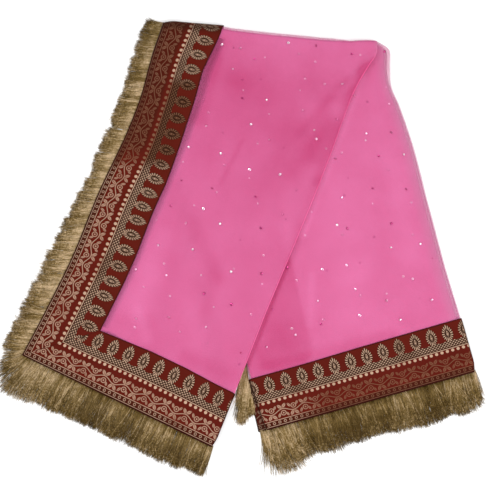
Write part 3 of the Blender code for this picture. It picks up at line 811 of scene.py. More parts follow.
def under_strip():
    """The next layer's end tape, beside the right arm's left fold."""
    fold = side_table(right_arm, right_hem, "left", RIGHT_END_WIDTHS)
    share = np.linspace(UNDER_RISE / UNDER_TAPE, 0, 31)
    run = np.linspace(0, 1, 7)
    inner = fold(share) - SIDE_ROLL + UNDER_IN
    outer = inner - 2 * UNDER_IN - at_marks(UNDER_WIDTHS, share * UNDER_TAPE)
    along = outer[:, None] + (inner - outer)[:, None] * run
    point, _, inward = right_hem.frame(along)
    plan = point + inward * (share[:, None] * UNDER_TAPE + 0 * along)[..., None]
    z = UNDER_TOP - UNDER_ROUND * (1 - run) ** 2 + 0 * along
    grid = np.concatenate((plan, z[..., None]), axis=-1)
    uv = np.stack((along + UNDER_SHIFT, (share * TAPE_PATTERN)[:, None] + 0 * along), axis=-1)
    piece = grid_piece("right_under_tape", grid, uv)
    make_shell(piece, TAPE_SHELL)
    write_turned_and_shade(piece)
    return piece


def shadow_strip(name, line, widths, bulges):
    """Tape of a layer below, which sticks out past the tape above it, under the net; its dark
    band also stands for painted shade beside the tape above.
    """
    marks = spread(bulges[0][0] * MM, bulges[-1][0] * MM, STRIP_STEP)
    across = np.linspace(0, 1, 7)
    inner = at_marks(widths, marks) - STRIP_LAP
    bulge = at_marks(bulges, marks)
    reach = inner[:, None] + (STRIP_LAP + bulge)[:, None] * across
    along = marks[:, None] + 0 * reach
    point, _, inward = line.frame(along)
    grid = left_arm.surface(point + inward * reach[..., None], -STRIP_DEEP)
    piece = grid_piece(name, grid, np.stack((along, across + 0 * along), axis=-1))
    make_shell(piece, STRIP_SHELL)
    return piece


right_under_tape = under_strip()
under_line = marked_line(*UNDER_LINE)
left_lower_tape_and_shade = shadow_strip("left_lower_tape_and_shade", side_line, SIDE_WIDTHS, SIDE_BULGES)
left_corner_tape_and_shade = shadow_strip(
    "left_corner_tape_and_shade", left_hem, LEFT_END_WIDTHS,
    [(mitre_end / MM + mark, bulge) for mark, bulge in CORNER_BULGES])
print("under strip edge (m):", round(under_line.length, 3))

# %% [markdown]
# ## The fringe
#
# The fringe is cut from soft rayon thread, hung from a narrow heading that is caught under the
# tape.  One three-sided thread is modelled and then copied thousands of times in each long row.
# What makes it look like thread is that no two lie alike: they gather in loose locks, fan out
# round the corners, lie over each other and end unevenly.

# %% One thread
THREAD_PARTS = 4                 # lengths between the rings of one thread


def model_thread():
    """A three-sided thread of length 1 and radius 1: its corners and faces."""
    thread = start_from(bpy.ops.mesh.primitive_cylinder_add, vertices=3, radius=1, depth=1,
                        location=(0, 0, 0.5), end_fill_type="NGON")
    bpy.ops.object.mode_set(mode="EDIT")
    for k in range(1, THREAD_PARTS):
        bpy.ops.mesh.select_all(action="SELECT")
        bpy.ops.mesh.bisect(plane_co=(0, 0, k / THREAD_PARTS), plane_no=(0, 0, 1))
    bpy.ops.object.mode_set(mode="OBJECT")
    return take_mesh(thread)


def take_mesh(model):
    """The corners and faces of a model, which is then removed from the scene."""
    matrix = model.matrix_world
    corners = np.array([(matrix @ v.co)[:] for v in model.data.vertices])
    faces = [tuple(face.vertices) for face in model.data.polygons]
    bpy.data.objects.remove(model, do_unlink=True)
    return corners, faces


def copies(name, model, places):
    """One mesh of many copies of a model; places holds each copy's own corners."""
    corners, faces = model
    every = []
    for k in range(len(places)):
        first = k * len(corners)
        every += [tuple(first + v for v in face) for face in faces]
    mesh = bpy.data.meshes.new(name)
    mesh.from_pydata(places.reshape(-1, 3).tolist(), [], every)
    mesh.update()
    piece = bpy.data.objects.new(name, mesh)
    bpy.context.scene.collection.objects.link(piece)
    return piece


thread_model = model_thread()
print("thread corners:", len(thread_model[0]), "faces:", len(thread_model[1]))

# %% A row of threads
THREADS_PER_MM = 12.0
THREAD_RADIUS = 0.28 * MM
LOCK_PITCH = 4.6 * MM            # threads gather in locks about this far apart
TUFT_PITCH = 12 * MM             # and the tips of a few locks gather again
HEADING_IN = 1.6 * MM            # the threads start this far inside the tape's edge
PILE_DEPTH = 2.0 * MM            # the fringe lies about this deep on the ground
# How unlike the threads of a row are: the spread of their leans, in degrees, and lengths, in mm,
# for whole locks, for tufts, for single threads, and for the few that stray.
LOCK_LEAN, LOCK_LENGTH, TUFT_LENGTH = 2.4, 1.6, 1.3
THREAD_LEAN, THREAD_LENGTH, THREAD_BEND, SHORTEST = 4.5, 1.1, 16, 6
STRAY_SHARE, STRAY_LENGTH, STRAY_LEAN, MOST_STRAY = 0.05, 3.5, 9, 10
THREAD_TONE, LOCK_TONE, PAINTED_GLINT_SHARE, PAINTED_GLINT = 0.16, 0.1, 0.06, 0.4     # and how unlike in tone, with a share of threads paler as painted glints
THREAD_LOWEST = 0.45 * MM        # the middle of a thread stays this far above the ground
LOCK_PULLS, TUFT_PULL = (0.15, 0.55), 0.3       # how strongly threads draw together
UPPER, LOWER_PULL = 0.55, 0.3    # threads below this level of the pile follow their lock less
ROOT_DEEP, ROOT_SPREAD = 0.5 * MM, 1.3 * MM     # how far below the edge the threads start
THREAD_REST, THREAD_WAVE = 0.5 * MM, 0.25 * MM
THREAD_THICK, TIP_THIN = (0.75, 1.15), 0.45     # shares of the radius
# Slow wanders along a row, so that nothing is evenly spaced: how much, and over what length.
LOCK_DRIFT, TUFT_DRIFT, BEND_DRIFT = (0.35, 13 * MM), (0.3, 29 * MM), (6, 37 * MM)
TONE_DRIFT, FINE_TONE_DRIFT = (1, 23 * MM), (1, 9.5 * MM)


def drift(along, amount, length, shift=0):
    return amount * np.sin(along / length + shift)


def thread_row(name, line, begin, lengths, leans, tints, seed, root_top, loose=1.0):
    """Threads side by side along an edge line, hanging away from the cloth.

    lengths, leans and tints are tables over the share of the row: mm, degrees towards its end,
    and how pale; loose says how much the threads stray from their row."""
    draw = np.random.default_rng(seed)
    row = line.length - begin
    count = int(row / MM * THREADS_PER_MM)
    share = np.sort(draw.uniform(0, 1, count))
    reach, base_lean, tint = (np.interp(share, *np.array(table).T)
                              for table in (lengths, leans, tints))
    along = begin + row * share
    lock = along / LOCK_PITCH + drift(along, *LOCK_DRIFT)
    number = np.floor(lock).astype(int)
    locks = number.max() + 2
    lock_lean, lock_length = draw.normal(0, LOCK_LEAN, locks), draw.normal(0, LOCK_LENGTH, locks)
    lock_pull, lock_tone = draw.uniform(*LOCK_PULLS, locks), draw.normal(0, LOCK_TONE, locks)
    middle = number + 0.5 - lock
    tuft = along / TUFT_PITCH + drift(along, *TUFT_DRIFT, seed) + 2
    tuft_pull = draw.uniform(0, TUFT_PULL, locks)[tuft.astype(int)]
    tuft_length = draw.normal(0, TUFT_LENGTH, locks)[tuft.astype(int)]
    gather = (np.floor(tuft) + 0.5 - tuft) * TUFT_PITCH * tuft_pull
    reach = reach + lock_length[number] + tuft_length
    reach = reach + draw.normal(0, THREAD_LENGTH, count) - SHORTEST * draw.uniform(0, 1, count) ** 3
    stray = draw.uniform(0, 1, count) < STRAY_SHARE
    reach = np.where(stray, reach + draw.uniform(0, STRAY_LENGTH, count), reach) * MM + HEADING_IN
    lean = lock_lean[number] + draw.normal(0, THREAD_LEAN, count)
    loose = loose * np.clip((1 - share) / 0.05, 0.4, 1)
    strays = np.clip(draw.normal(0, STRAY_LEAN, count), -MOST_STRAY, MOST_STRAY)
    lean = np.radians(base_lean + np.where(stray, lean + strays, lean) * loose)
    bend = np.radians(draw.normal(0, THREAD_BEND, count) + drift(along, *BEND_DRIFT, seed))
    level = draw.uniform(0, 1, count)
    gather += middle * LOCK_PITCH * lock_pull[number] * np.where(level > UPPER, 1.0, LOWER_PULL)
    gather /= sum(k * k for k in range(THREAD_PARTS + 1))
    root_z = root_top(along) - ROOT_DEEP - ROOT_SPREAD * (1 - level)
    wave = draw.uniform(0, 2 * math.pi, count)
    path = lay_threads(line, along, reach, lean, bend, gather, level, root_z, wave)
    radius = THREAD_RADIUS * draw.uniform(*THREAD_THICK, count)[:, None]
    radius = radius * (1 - TIP_THIN * np.linspace(0, 1, THREAD_PARTS + 1) ** 2)
    piece = copies(name, thread_model, wrap_thread(path, radius))
    broad = drift(along, *TONE_DRIFT, seed) + drift(along, *FINE_TONE_DRIFT, 2 * seed)
    # Threads at the edges of a lock are darker: a painted shade between the locks.
    tone = tint + lock_tone[number] + 0.06 * broad + 0.05 - 0.25 * np.abs(2 * middle) ** 3
    tone = tone + draw.normal(0, THREAD_TONE, count)
    # A few threads are paler: painted glints of the glossy rayon.
    tone = np.where(draw.uniform(0, 1, count) < PAINTED_GLINT_SHARE, tone + PAINTED_GLINT, tone)
    # Threads low in the pile are darker and those on top lighter: painted shade and light.
    tone = tone + 0.3 * (level - 0.6)
    steps = np.rint(thread_model[0][:, 2] * THREAD_PARTS)
    write_values(piece, "tone", np.repeat(tone[:, None], len(steps), 1))
    write_values(piece, "reach", np.repeat(steps[None] / THREAD_PARTS, count, 0))
    select_only(piece)
    bpy.ops.object.shade_smooth()
    print(name, "threads:", count, "row (m):", round(row, 3))
    return piece


def lay_threads(line, along, reach, lean, bend, gather, level, root_z, wave):
    """The path of each thread: out from the edge, drawn towards its lock, and down to rest."""
    point, way, inward = line.frame(along)
    stations = np.linspace(0, 1, THREAD_PARTS + 1)
    path = np.zeros((len(along), len(stations), 3))
    spot = point + inward * HEADING_IN
    step = reach / THREAD_PARTS
    for k, t in enumerate(stations):
        angle = lean + bend * (t - 0.5)
        if k:
            spot = spot - inward * (step * np.cos(angle))[:, None]
            spot = spot + way * (step * np.sin(angle))[:, None]
            spot = spot + way * (gather * k * k)[:, None]
        resting = THREAD_REST + PILE_DEPTH * level * (1 - 0.45 * t)
        hang = (1 - t) ** 2
        path[:, k, :2] = spot
        path[:, k, 2] = resting + (root_z - resting) * hang + THREAD_WAVE * np.sin(wave + 5 * t)
    path[..., 2] = np.maximum(path[..., 2], THREAD_LOWEST)
    return path


def wrap_thread(path, radius):
    """The corners of the thread model carried along each path, (threads, corners, xyz)."""
    ahead = unit(np.gradient(path, axis=1))
    side = unit(np.cross(ahead, (0, 0, 1.0)))
    above = np.cross(side, ahead)
    corners = thread_model[0]
    ring = np.rint(corners[:, 2] * THREAD_PARTS).astype(int)
    around = radius[:, ring, None]
    return (path[:, ring] + around * corners[:, 0, None] * side[:, ring]
            + around * corners[:, 1, None] * above[:, ring])


def select_only(piece):
    bpy.ops.object.select_all(action="DESELECT")
    piece.select_set(True)
    bpy.context.view_layer.objects.active = piece


# %% The four rows
def edge_height(arm, line):
    """The height of a cloth edge along its line."""
    return lambda along: arm.height(line.frame(np.maximum(along, 0))[0])


side_edge, left_hem_edge = edge_height(left_arm, side_line), edge_height(left_arm, left_hem)
right_hem_edge = edge_height(right_arm, right_hem)
left_side_threads = thread_row(
    "left_side_threads", side_line, 2 * MM,
    ((0, 27), (0.06, 28.5), (0.36, 28.5), (0.43, 27.5), (0.455, 22.5), (0.5, 26), (0.56, 28.5),
     (0.64, 34), (0.74, 34.5), (0.83, 36), (0.9, 33), (0.95, 31), (0.98, 33), (1, 33)),
    ((0, -2), (0.05, 2), (0.15, 10), (0.4, 17), (0.6, 22), (0.85, 20), (0.95, 16), (0.98, 24),
     (1, 58)),
    ((0, 0.42), (0.14, 0.5), (0.26, 0.62), (0.8, 0.68), (1, 0.5)), 11, side_edge, 1.2)
left_end_threads = thread_row(
    "left_end_threads", left_hem, 0,
    ((0, 30), (0.02, 43), (0.04, 54), (0.06, 55), (0.09, 53.5), (0.14, 50.5), (0.22, 48.5),
     (0.35, 46), (0.5, 45.5), (0.6, 44), (0.69, 42), (0.75, 48), (0.84, 46), (0.9, 41), (0.95, 42),
     (1, 42)),
    ((0, -42), (0.02, -21), (0.04, -10), (0.06, -7), (0.14, -4), (0.25, 0), (0.9, 2), (1, 6)),
    ((0, 0.43), (0.25, 0.39), (0.45, 0.26), (1, 0.30)), 12, left_hem_edge, 1.3)
right_end_threads = thread_row(
    "right_end_threads", right_hem, -8 * MM,
    ((0, 40), (0.03, 52), (0.05, 62), (0.065, 64), (0.08, 57), (0.1, 51), (0.15, 49),
     (0.21, 51), (0.28, 48), (0.32, 46), (0.42, 46.5), (0.49, 45.5), (0.56, 47.5), (0.63, 49),
     (0.88, 48), (0.955, 50), (0.978, 43), (1, 28)),
    ((0, 6), (0.06, 4), (0.12, 7), (0.25, 3), (0.8, 0), (0.93, -3), (0.978, -3), (1, 0)),
    ((0, 0.42), (0.06, 0.56), (0.14, 0.46), (0.24, 0.22), (0.6, 0.21), (0.9, 0.3), (1, 0.46)),
    13, right_hem_edge, 1.9)
right_under_threads = thread_row(
    "right_under_threads", under_line, 0,
    ((0, 50), (0.08, 57), (0.15, 69), (0.22, 69), (0.3, 64), (0.45, 48), (0.6, 32), (0.75, 21),
     (1, 6)),
    ((0, 69), (0.15, 74), (0.3, 77), (1, 76)), ((0, 0.68), (1, 0.6)), 14,
    lambda along: 0 * along + UNDER_TOP, 0.6)

# %% [markdown]
# ## Sequins
#
# Small cupped sequins are sewn all over the net, three fingers apart.  Those on the top layer
# glint; those on the layer below are dimmed by the net.  One sequin is modelled from a disc,
# dished and pierced, and then scattered on a loose lattice, each with its own slight tilt and a
# foil from dark pink to white, which is partly its colour and partly a painted glint.

# %% One sequin
SEQUIN_RADIUS = 1.75 * MM
SEQUIN_DISH = 0.3 * MM
SEQUIN_WALL = 0.12 * MM
SEQUIN_PITCH = 46 * MM


def model_sequin():
    """A dished ten-sided disc with a hole in its middle, lying at the origin."""
    disc = start_from(bpy.ops.mesh.primitive_circle_add, vertices=10, radius=SEQUIN_RADIUS,
                      fill_type="NGON")
    bpy.ops.object.mode_set(mode="EDIT")
    for inset, drop in ((0.45, 1.0), (0.35, 0.15)):
        bpy.ops.mesh.inset(thickness=SEQUIN_RADIUS * inset)
        bpy.ops.transform.translate(value=(0, 0, -SEQUIN_DISH * drop))
    bpy.ops.mesh.delete(type="FACE")
    bpy.ops.object.mode_set(mode="OBJECT")
    make_shell(disc, SEQUIN_WALL)
    return take_mesh(disc)


sequin_model = model_sequin()
print("sequin corners:", len(sequin_model[0]))


def tilted_copies(name, model, spots, ways, normals, sizes=1.0):
    """Copies of a model at places on a surface, each with its own direction and normal."""
    side = unit(np.cross(normals, ways))
    ways = np.cross(side, normals)
    corners = model[0] * np.reshape(sizes, (-1, 1, 1))
    places = spots[:, None] + (corners[:, :, 0, None] * ways[:, None]
                               + corners[:, :, 1, None] * side[:, None]
                               + corners[:, :, 2, None] * normals[:, None])
    return copies(name, model, places)


def surface_normals(arm, plan):
    return arm.surface(plan, 1.0) - arm.surface(plan, 0.0)


SEQUIN_CLEAR = 8 * MM            # how far sequins stay from a folded side, the hem and the top
SEQUIN_HEM_CLEAR = 82 * MM
SEQUIN_TOP_CLEAR = 16 * MM
SEQUIN_LEVELS = (0.35 * MM, -0.75 * MM)       # out from the net's face, and under it
SEQUIN_STRAY, SEQUIN_TILT = 0.2 * SEQUIN_PITCH, 0.3
SEQUIN_SIZES = (0.7, 1.15)


def scatter_sequins(name, arm, seed, clear_left):
    """Sequins on the face and just under it, clear of the tapes."""
    draw = np.random.default_rng(seed)
    spots = []
    for layer, out in enumerate(SEQUIN_LEVELS):
        first = SEQUIN_TOP_CLEAR + (2 + layer * 17) * MM
        rows = np.arange(first, arm.length - SEQUIN_HEM_CLEAR - 2 * MM, SEQUIN_PITCH)
        for k, row in enumerate(rows):
            clear_right = float(arm.width(row)) - SEQUIN_CLEAR
            shift = (0.5 * (k % 2) + 0.3 * layer) * SEQUIN_PITCH
            for column in np.arange(clear_left + shift, clear_right, SEQUIN_PITCH):
                aside, on = draw.normal(0, SEQUIN_STRAY, 2)
                across = np.clip(column + aside, clear_left, clear_right)
                down = np.clip(row + on, SEQUIN_TOP_CLEAR, arm.length - SEQUIN_HEM_CLEAR)
                spots.append((across, down, out))
    column, row, out = np.array(spots).T
    plan = arm.plan(column, row)
    tilt = draw.normal(0, SEQUIN_TILT, (len(plan), 3))
    normal = unit(surface_normals(arm, plan) + np.where(out[:, None] > 0, tilt, 0.3 * tilt))
    turn = draw.uniform(0, 2 * math.pi, len(plan))
    ways = np.stack((np.cos(turn), np.sin(turn), 0 * turn), axis=1)
    sizes = draw.uniform(*SEQUIN_SIZES, len(plan))
    piece = tilted_copies(name, sequin_model, arm.surface(plan, out[:, None]), ways, normal, sizes)
    # Each sequin's foil, from dark pink to white, is partly its colour and partly a painted glint.
    foil_and_glint = draw.uniform(0, 1, len(plan))
    write_values(piece, "foil_and_glint", np.repeat(foil_and_glint, len(sequin_model[0])))
    print(name, "sequins:", len(plan))
    return piece


left_sequins = scatter_sequins("left_sequins", left_arm, 21, SIDE_TAPE + 9 * MM)
right_sequins = scatter_sequins("right_sequins", right_arm, 22, SEQUIN_CLEAR)

# %% [markdown]
# ## Stitches and heading
#
# The tape is held by a row of machine stitches near each edge, and the threads hang from a
# narrow corded heading.  Both are small, but they are what a close look finds first.

# %% Stitches
STITCH_PITCH = 3.6 * MM
STITCH_SIZE = (1.25 * MM, 0.24 * MM, 0.16 * MM)       # half length, half width, half height
STITCH_INSET = 1.3 * MM
STITCH_OUT = 0.04 * MM           # of its middle from the tape's face


def model_stitch():
    """One stitch: a slim rounded bead of thread that dips at both ends."""
    bead = start_from(bpy.ops.mesh.primitive_uv_sphere_add, segments=6, ring_count=4, radius=1)
    bpy.ops.object.mode_set(mode="EDIT")
    bpy.ops.transform.resize(value=STITCH_SIZE)
    bpy.ops.object.mode_set(mode="OBJECT")
    return in_order(*take_mesh(bead))


def in_order(corners, faces):
    """The same model with its corners and faces sorted, since Blender numbers those of a sphere
    differently in each run, and the lesson should give the same mesh every time."""
    order = np.lexsort(corners.T.round(9))
    rank = np.argsort(order).tolist()
    faces = [[rank[corner] for corner in face] for face in faces]
    starts = [face.index(min(face)) for face in faces]
    return corners[order], sorted(tuple(face[k:] + face[:k]) for face, k in zip(faces, starts))


stitch_model = model_stitch()


def stitch_row(line, first, last, widths=None):
    """Places and directions of the stitches near the tape's outer edge, or its inner one if
    its widths are given; first is measured from the start of the line, last from its end."""
    along = np.arange(first * MM, line.length - last * MM, STITCH_PITCH)
    point, way, inward = line.frame(along)
    away = STITCH_INSET + 0 * along
    if widths:
        away = at_marks(widths, along) - STITCH_INSET
    return point + inward * away[:, None], way


def sew(name, arm, *rows):
    plan, ways = (np.concatenate(both) for both in zip(*rows))
    ways = np.column_stack((ways, 0 * ways[:, 0]))
    spots = arm.surface(plan, TAPE_OUT + STITCH_OUT)
    piece = tilted_copies(name, stitch_model, spots, ways, surface_normals(arm, plan))
    print(name, "stitches:", len(plan))
    return piece


left_stitches = sew(
    "left_stitches", left_arm,
    stitch_row(side_line, 12, 3), stitch_row(side_line, 22, mitre_side / MM, SIDE_WIDTHS),
    stitch_row(left_hem, 3, 5), stitch_row(left_hem, mitre_end / MM, 9, LEFT_END_WIDTHS))
right_stitches = sew("right_stitches", right_arm, stitch_row(right_hem, 5, 5),
                     stitch_row(right_hem, 4, 12, RIGHT_END_WIDTHS))

# %% Fringe headings
HEADING_OUT = 2.0 * MM
HEADING_ROUND = 0.8 * MM
HEADING_DROP = 1.9 * MM          # its edges lie this far below the cloth's face
HEADING_LOWEST = 0.9 * MM
HEADING_STEP, HEADING_SHELL = 2.5 * MM, 0.4 * MM


def heading(name, line, begin, root_top):
    """A narrow corded band along an edge, half under the tape, that the threads hang from."""
    along = spread(begin, line.length, HEADING_STEP)
    around = np.linspace(-0.2, math.pi + 0.2, 7)
    point, _, inward = line.frame(along)
    middle = (HEADING_OUT - HEADING_IN) / 2
    half = (HEADING_OUT + HEADING_IN) / 2
    out = middle + half * -np.cos(around)
    grid = np.zeros((len(along), len(around), 3))
    grid[..., :2] = point[:, None] - inward[:, None] * out[None, :, None]
    base = root_top(along) - HEADING_DROP
    grid[..., 2] = np.maximum(base[:, None] + HEADING_ROUND * np.sin(around), HEADING_LOWEST)
    uv = np.stack(np.meshgrid(out, along), axis=-1)
    piece = grid_piece(name, grid[:, ::-1], uv[:, ::-1])
    make_shell(piece, HEADING_SHELL)
    return piece


left_side_heading = heading("left_side_heading", side_line, 2 * MM, side_edge)
left_end_heading = heading("left_end_heading", left_hem, 0, left_hem_edge)
right_end_heading = heading("right_end_heading", right_hem, -5 * MM, right_hem_edge)

# %% [markdown]
# ## Writing finishes as sums
#
# A finish is a net of small nodes, which is slow to read and to change.  The two classes below
# let it be written as ordinary sums: a Reading is a number that varies over the surface, and
# adding or multiplying Readings adds the Math nodes.  Any other node comes from Finish.add,
# which takes the kind of node, its settings, and what goes into its sockets.

# %% Sums that make nodes
class Reading:
    """One output of a node, used in sums as if it were a number."""

    def __init__(self, finish, socket):
        self.finish, self.socket = finish, socket

    def math(self, operation, *others):
        return self.finish.add("ShaderNodeMath", {"operation": operation},
                               dict(enumerate((self, *others))))

    def __add__(self, other):
        return self.math("ADD", other)

    __radd__ = __add__

    def __mul__(self, other):
        return self.math("MULTIPLY", other)

    __rmul__ = __mul__

    def __sub__(self, other):
        return self.math("SUBTRACT", other)

    def __rsub__(self, other):
        return self * -1 + other

    def __truediv__(self, other):
        return self.math("DIVIDE", other)

    def __mod__(self, other):
        return self.math("FLOORED_MODULO", other)

    def __pow__(self, other):
        return self.math("POWER", other)

    def __abs__(self):
        return self.math("ABSOLUTE")

    def above(self, level, soft):
        """0 below a level and 1 above it, with a soft step between."""
        return self.finish.add("ShaderNodeMapRange", {"interpolation_type": "SMOOTHSTEP"},
                               {"Value": self, "From Min": level - soft,
                                "From Max": level + soft})

    def between(self, low, high, soft):
        return self.above(low, soft) - self.above(high, soft)


class Finish:
    """A material, with one method that adds any node and a few that are used often."""

    def __init__(self, name, **fixed):
        self.material = bpy.data.materials.new(name)
        self.material.use_nodes = True
        self.nodes, self.links = self.material.node_tree.nodes, self.material.node_tree.links
        self.shader = self.nodes["Principled BSDF"]
        for socket, value in fixed.items():
            self.shader.inputs[socket.replace("_", " ")].default_value = value

    def add(self, kind, settings=None, values=None, output=0):
        node = self.nodes.new(kind)
        for setting, value in (settings or {}).items():
            setattr(node, setting, value)
        for socket, value in (values or {}).items():
            self.feed(node.inputs[socket], value)
        return Reading(self, node.outputs[output])

    def feed(self, socket, value):
        if isinstance(value, Reading):
            self.links.new(value.socket, socket)
        else:
            socket.default_value = value

    def give(self, **readings):
        for socket, value in readings.items():
            self.feed(self.shader.inputs[socket.replace("_", " ")], value)

    def mix(self, factor, first, second):
        return self.add("ShaderNodeMix", {"data_type": "RGBA"},
                        {0: factor, 6: first, 7: second}, output=2)

    def place(self, kind):
        """Two distances in m: x and y of the whole stole ("Object"), or along and in ("UV")."""
        where = self.add("ShaderNodeTexCoord", output=kind)
        node = self.add("ShaderNodeSeparateXYZ", None, {0: where}).socket.node
        return [Reading(self, node.outputs[k]) for k in (0, 1)]

    def kept(self, name):
        """A number that was kept at the corners of the mesh."""
        return self.add("ShaderNodeAttribute", {"attribute_name": name}, output="Fac")

    def noise(self, scale, detail=2.0):
        where = self.add("ShaderNodeTexCoord", output="Object")
        return self.add("ShaderNodeTexNoise", None,
                        {"Vector": where, "Scale": scale, "Detail": detail})

    def bump(self, height, distance, strength=1.0):
        return self.add("ShaderNodeBump", None,
                        {"Height": height, "Distance": distance, "Strength": strength})


LIGHT_LEVEL = 1.22           # the light that falls on the cloth, so colours are set below it


def dye(red, green, blue):
    """A colour as it should look under the lamps, from 0 to 255, as a shader's colour."""
    linear = []
    for value in (red, green, blue):
        value /= 255
        linear.append(value / 12.92 if value < 0.04045 else ((value + 0.055) / 1.055) ** 2.4)
    return (*[min(0.95, value / LIGHT_LEVEL) for value in linear], 1.0)


# %% [markdown]
# ## The net's finish
#
# Net lets light through, so its finish has a real transparency, a little higher between its
# threads than on them.  Over the layers below it looks a full pink; where only one layer lies
# over the ground, along the right fold, it turns to a pale lilac grey, partly by its transparency
# and partly by a painted pale tint and a faint painted glow on the steep fold.  Light also comes
# through a folded edge from behind; along the left arm's fold, where it lies on the right arm, a
# painted glow stands in for that and lightens the shade there.

# %% Net and layers
NET_PITCH = 1.1 * MM


def net_tint(finish):
    """The dye of the net: deeper where more cloth lies below and where shade is painted,
    paler where light is painted, and faintly mottled.
    """
    # depth carries painted shade and light as well as the layers below
    depth = finish.kept("depth")
    cloud = finish.noise(22.0, 4.0) - 0.5
    factor = (depth + cloud * 0.8 + 0.5) / 1.5
    return finish.mix(factor, dye(250, 140, 196), dye(224, 90, 147))


def net_finish(name, alpha):
    finish = Finish(name, Roughness=0.7, Specular_IOR_Level=0.12, Emission_Strength=1.0)
    across, along = finish.place("UV")
    threads = 0
    for lean in (0.0, 60.0, 120.0):
        turn = math.radians(lean)
        wave = (across * math.cos(turn) + along * math.sin(turn)) * (math.pi / NET_PITCH)
        threads = abs(wave.math("SINE")).above(0.93, 0.06) + threads
    threads = threads.math("MINIMUM", 1.0)
    steep = finish.kept("steep")
    glow = finish.kept("glow")
    # Painted light: a pale tint on steep folds, and an emission that is a painted glow on them,
    # stronger on the left fold that lies on the right arm.
    tint = finish.mix(steep * 0.5, net_tint(finish), dye(228, 180, 206))
    light = finish.mix(steep, dye(222, 100, 152), dye(206, 158, 184))
    light = finish.mix(glow * 0.5 + steep * 0.2, (0, 0, 0, 1), light)
    finish.give(Base_Color=tint, Emission_Color=light,
                Alpha=(threads * 0.12 + alpha) * (1 - steep * 0.6) + glow * 0.5,
                Normal=finish.bump(threads, 0.05 * MM, 0.35))
    return finish.material


def layers_finish(name):
    finish = Finish(name, Roughness=0.75, Specular_IOR_Level=0.1)
    grain = finish.noise(420.0, 3.0)
    solid = finish.kept("solid")
    pink = finish.mix(grain * 0.3, net_tint(finish), dye(240, 110, 166))
    finish.give(Base_Color=finish.mix(solid, dye(210, 154, 180), pink),
                Normal=finish.bump(grain, 0.2 * MM, 0.4),
                Alpha=(solid * 5).math("MINIMUM", 1.0))
    return finish.material


net_cloth = net_finish("net_cloth", 0.22)
layer_cloth = layers_finish("layer_cloth")
print("nodes in the net's finish:", len(net_cloth.node_tree.nodes))

# %% [markdown]
# ## The tape's finish
#
# The tape is maroon satin with a second weft of gold zari thread, brought up only where the
# design needs it.  From its outer edge in, the design runs: selvedge, a chain of small rings
# between fine lines, a running leafy vine, a row of dots, a fine line, a lattice that rises
# to a point under each motif, and the row of fan-shaped leaf motifs that point to the net.
# Every shape below is a sum on two distances, along the tape and in from its edge, in mm.

# %% Zari design, in mm
SOFT = 0.16                      # softness of a woven shape's edge
REPEAT = 22                      # one leaf motif to the next
DOT_PITCH = REPEAT / 3           # of the dots and of the chain's rings
VINE_CELL = REPEAT * 2 / 3       # half a wave of the vine
LATTICE_PITCH, LATTICE_HEIGHT = REPEAT / 5, 4.0
# How far in from the outer edge each part lies.
CHAIN_MIDDLE, VINE_MIDDLE, DOTS_MIDDLE, MOTIF_MIDDLE = 5.4, 19.4, 35.7, 59.0
CHAIN_LINES, DOTS_LINE = ((1.5, 2.3), (8.3, 9.1)), (38.5, 39.4)
LATTICE_FOOT, LATTICE_TOP, LATTICE_RISE = 40.8, 48.2, 2.6
DARK_UNDER_CHAIN, DARK_BESIDE_DOTS = (0.0, 8.2), (37.9, 41.0)
SELVEDGE, SELVEDGE_LINE, INNER_SELVEDGE = 1.3, (2.4, 3.0), 74.1
MOTIF_HALF, MOTIF_TIP, MOTIF_FOOT = 7.4, 13.6, 10.4      # half width, and reach up and down
MOTIF_PETALS = 17
# The leaves in one cell of the vine: place, lean in degrees, half length and half width.
VINE_LEAVES = (((-3.0, 6.2), 128, 4.1, 2.0), ((2.8, 6.6), 48, 4.1, 2.0),
               ((-5.3, -5.6), 62, 3.6, 1.5), ((5.6, -6.2), 118, 3.2, 1.4))


def hypotenuse(x, y):
    return (x * x + y * y).math("SQRT")


def either(*masks):
    result = masks[0]
    for mask in masks[1:]:
        result = result.math("MAXIMUM", mask)
    return result


def cell(along, pitch):
    """Distance from the middle of the nearest repeat."""
    return (along + pitch / 2) % pitch - pitch / 2


def leaf(x, y, at, lean, half_length, half_width):
    """A pointed leaf with a vein, its middle at a place and leaning by an angle."""
    turn = math.radians(lean)
    x, y = x - at[0], y - at[1]
    along = x * math.cos(turn) + y * math.sin(turn)
    across = abs(y * math.cos(turn) - x * math.sin(turn))
    room = (1 - (along / half_length) ** 2) * half_width - across
    return room.above(0, SOFT) * across.above(0.22, SOFT / 2)


def vine(along, into):
    """A waved stem; each half wave carries a pair of leaves, a curl and a single leaf."""
    number = (along / VINE_CELL).math("FLOOR")
    side = 1 - (number % 2) * 2
    x = along % VINE_CELL - VINE_CELL / 2
    y = (into - VINE_MIDDLE) * side
    stem = (x * (math.pi / VINE_CELL)).math("COSINE") * 2.6
    stem = 1 - abs(y - stem).above(0.62, SOFT)
    curl = hypotenuse(x - 0.6, y + 3.4)
    ring = 1 - abs(curl - 3.1).above(0.55, SOFT)
    bead = 1 - curl.above(1.15, SOFT)
    return either(stem, ring, bead, *(leaf(x, y, *shape) for shape in VINE_LEAVES))


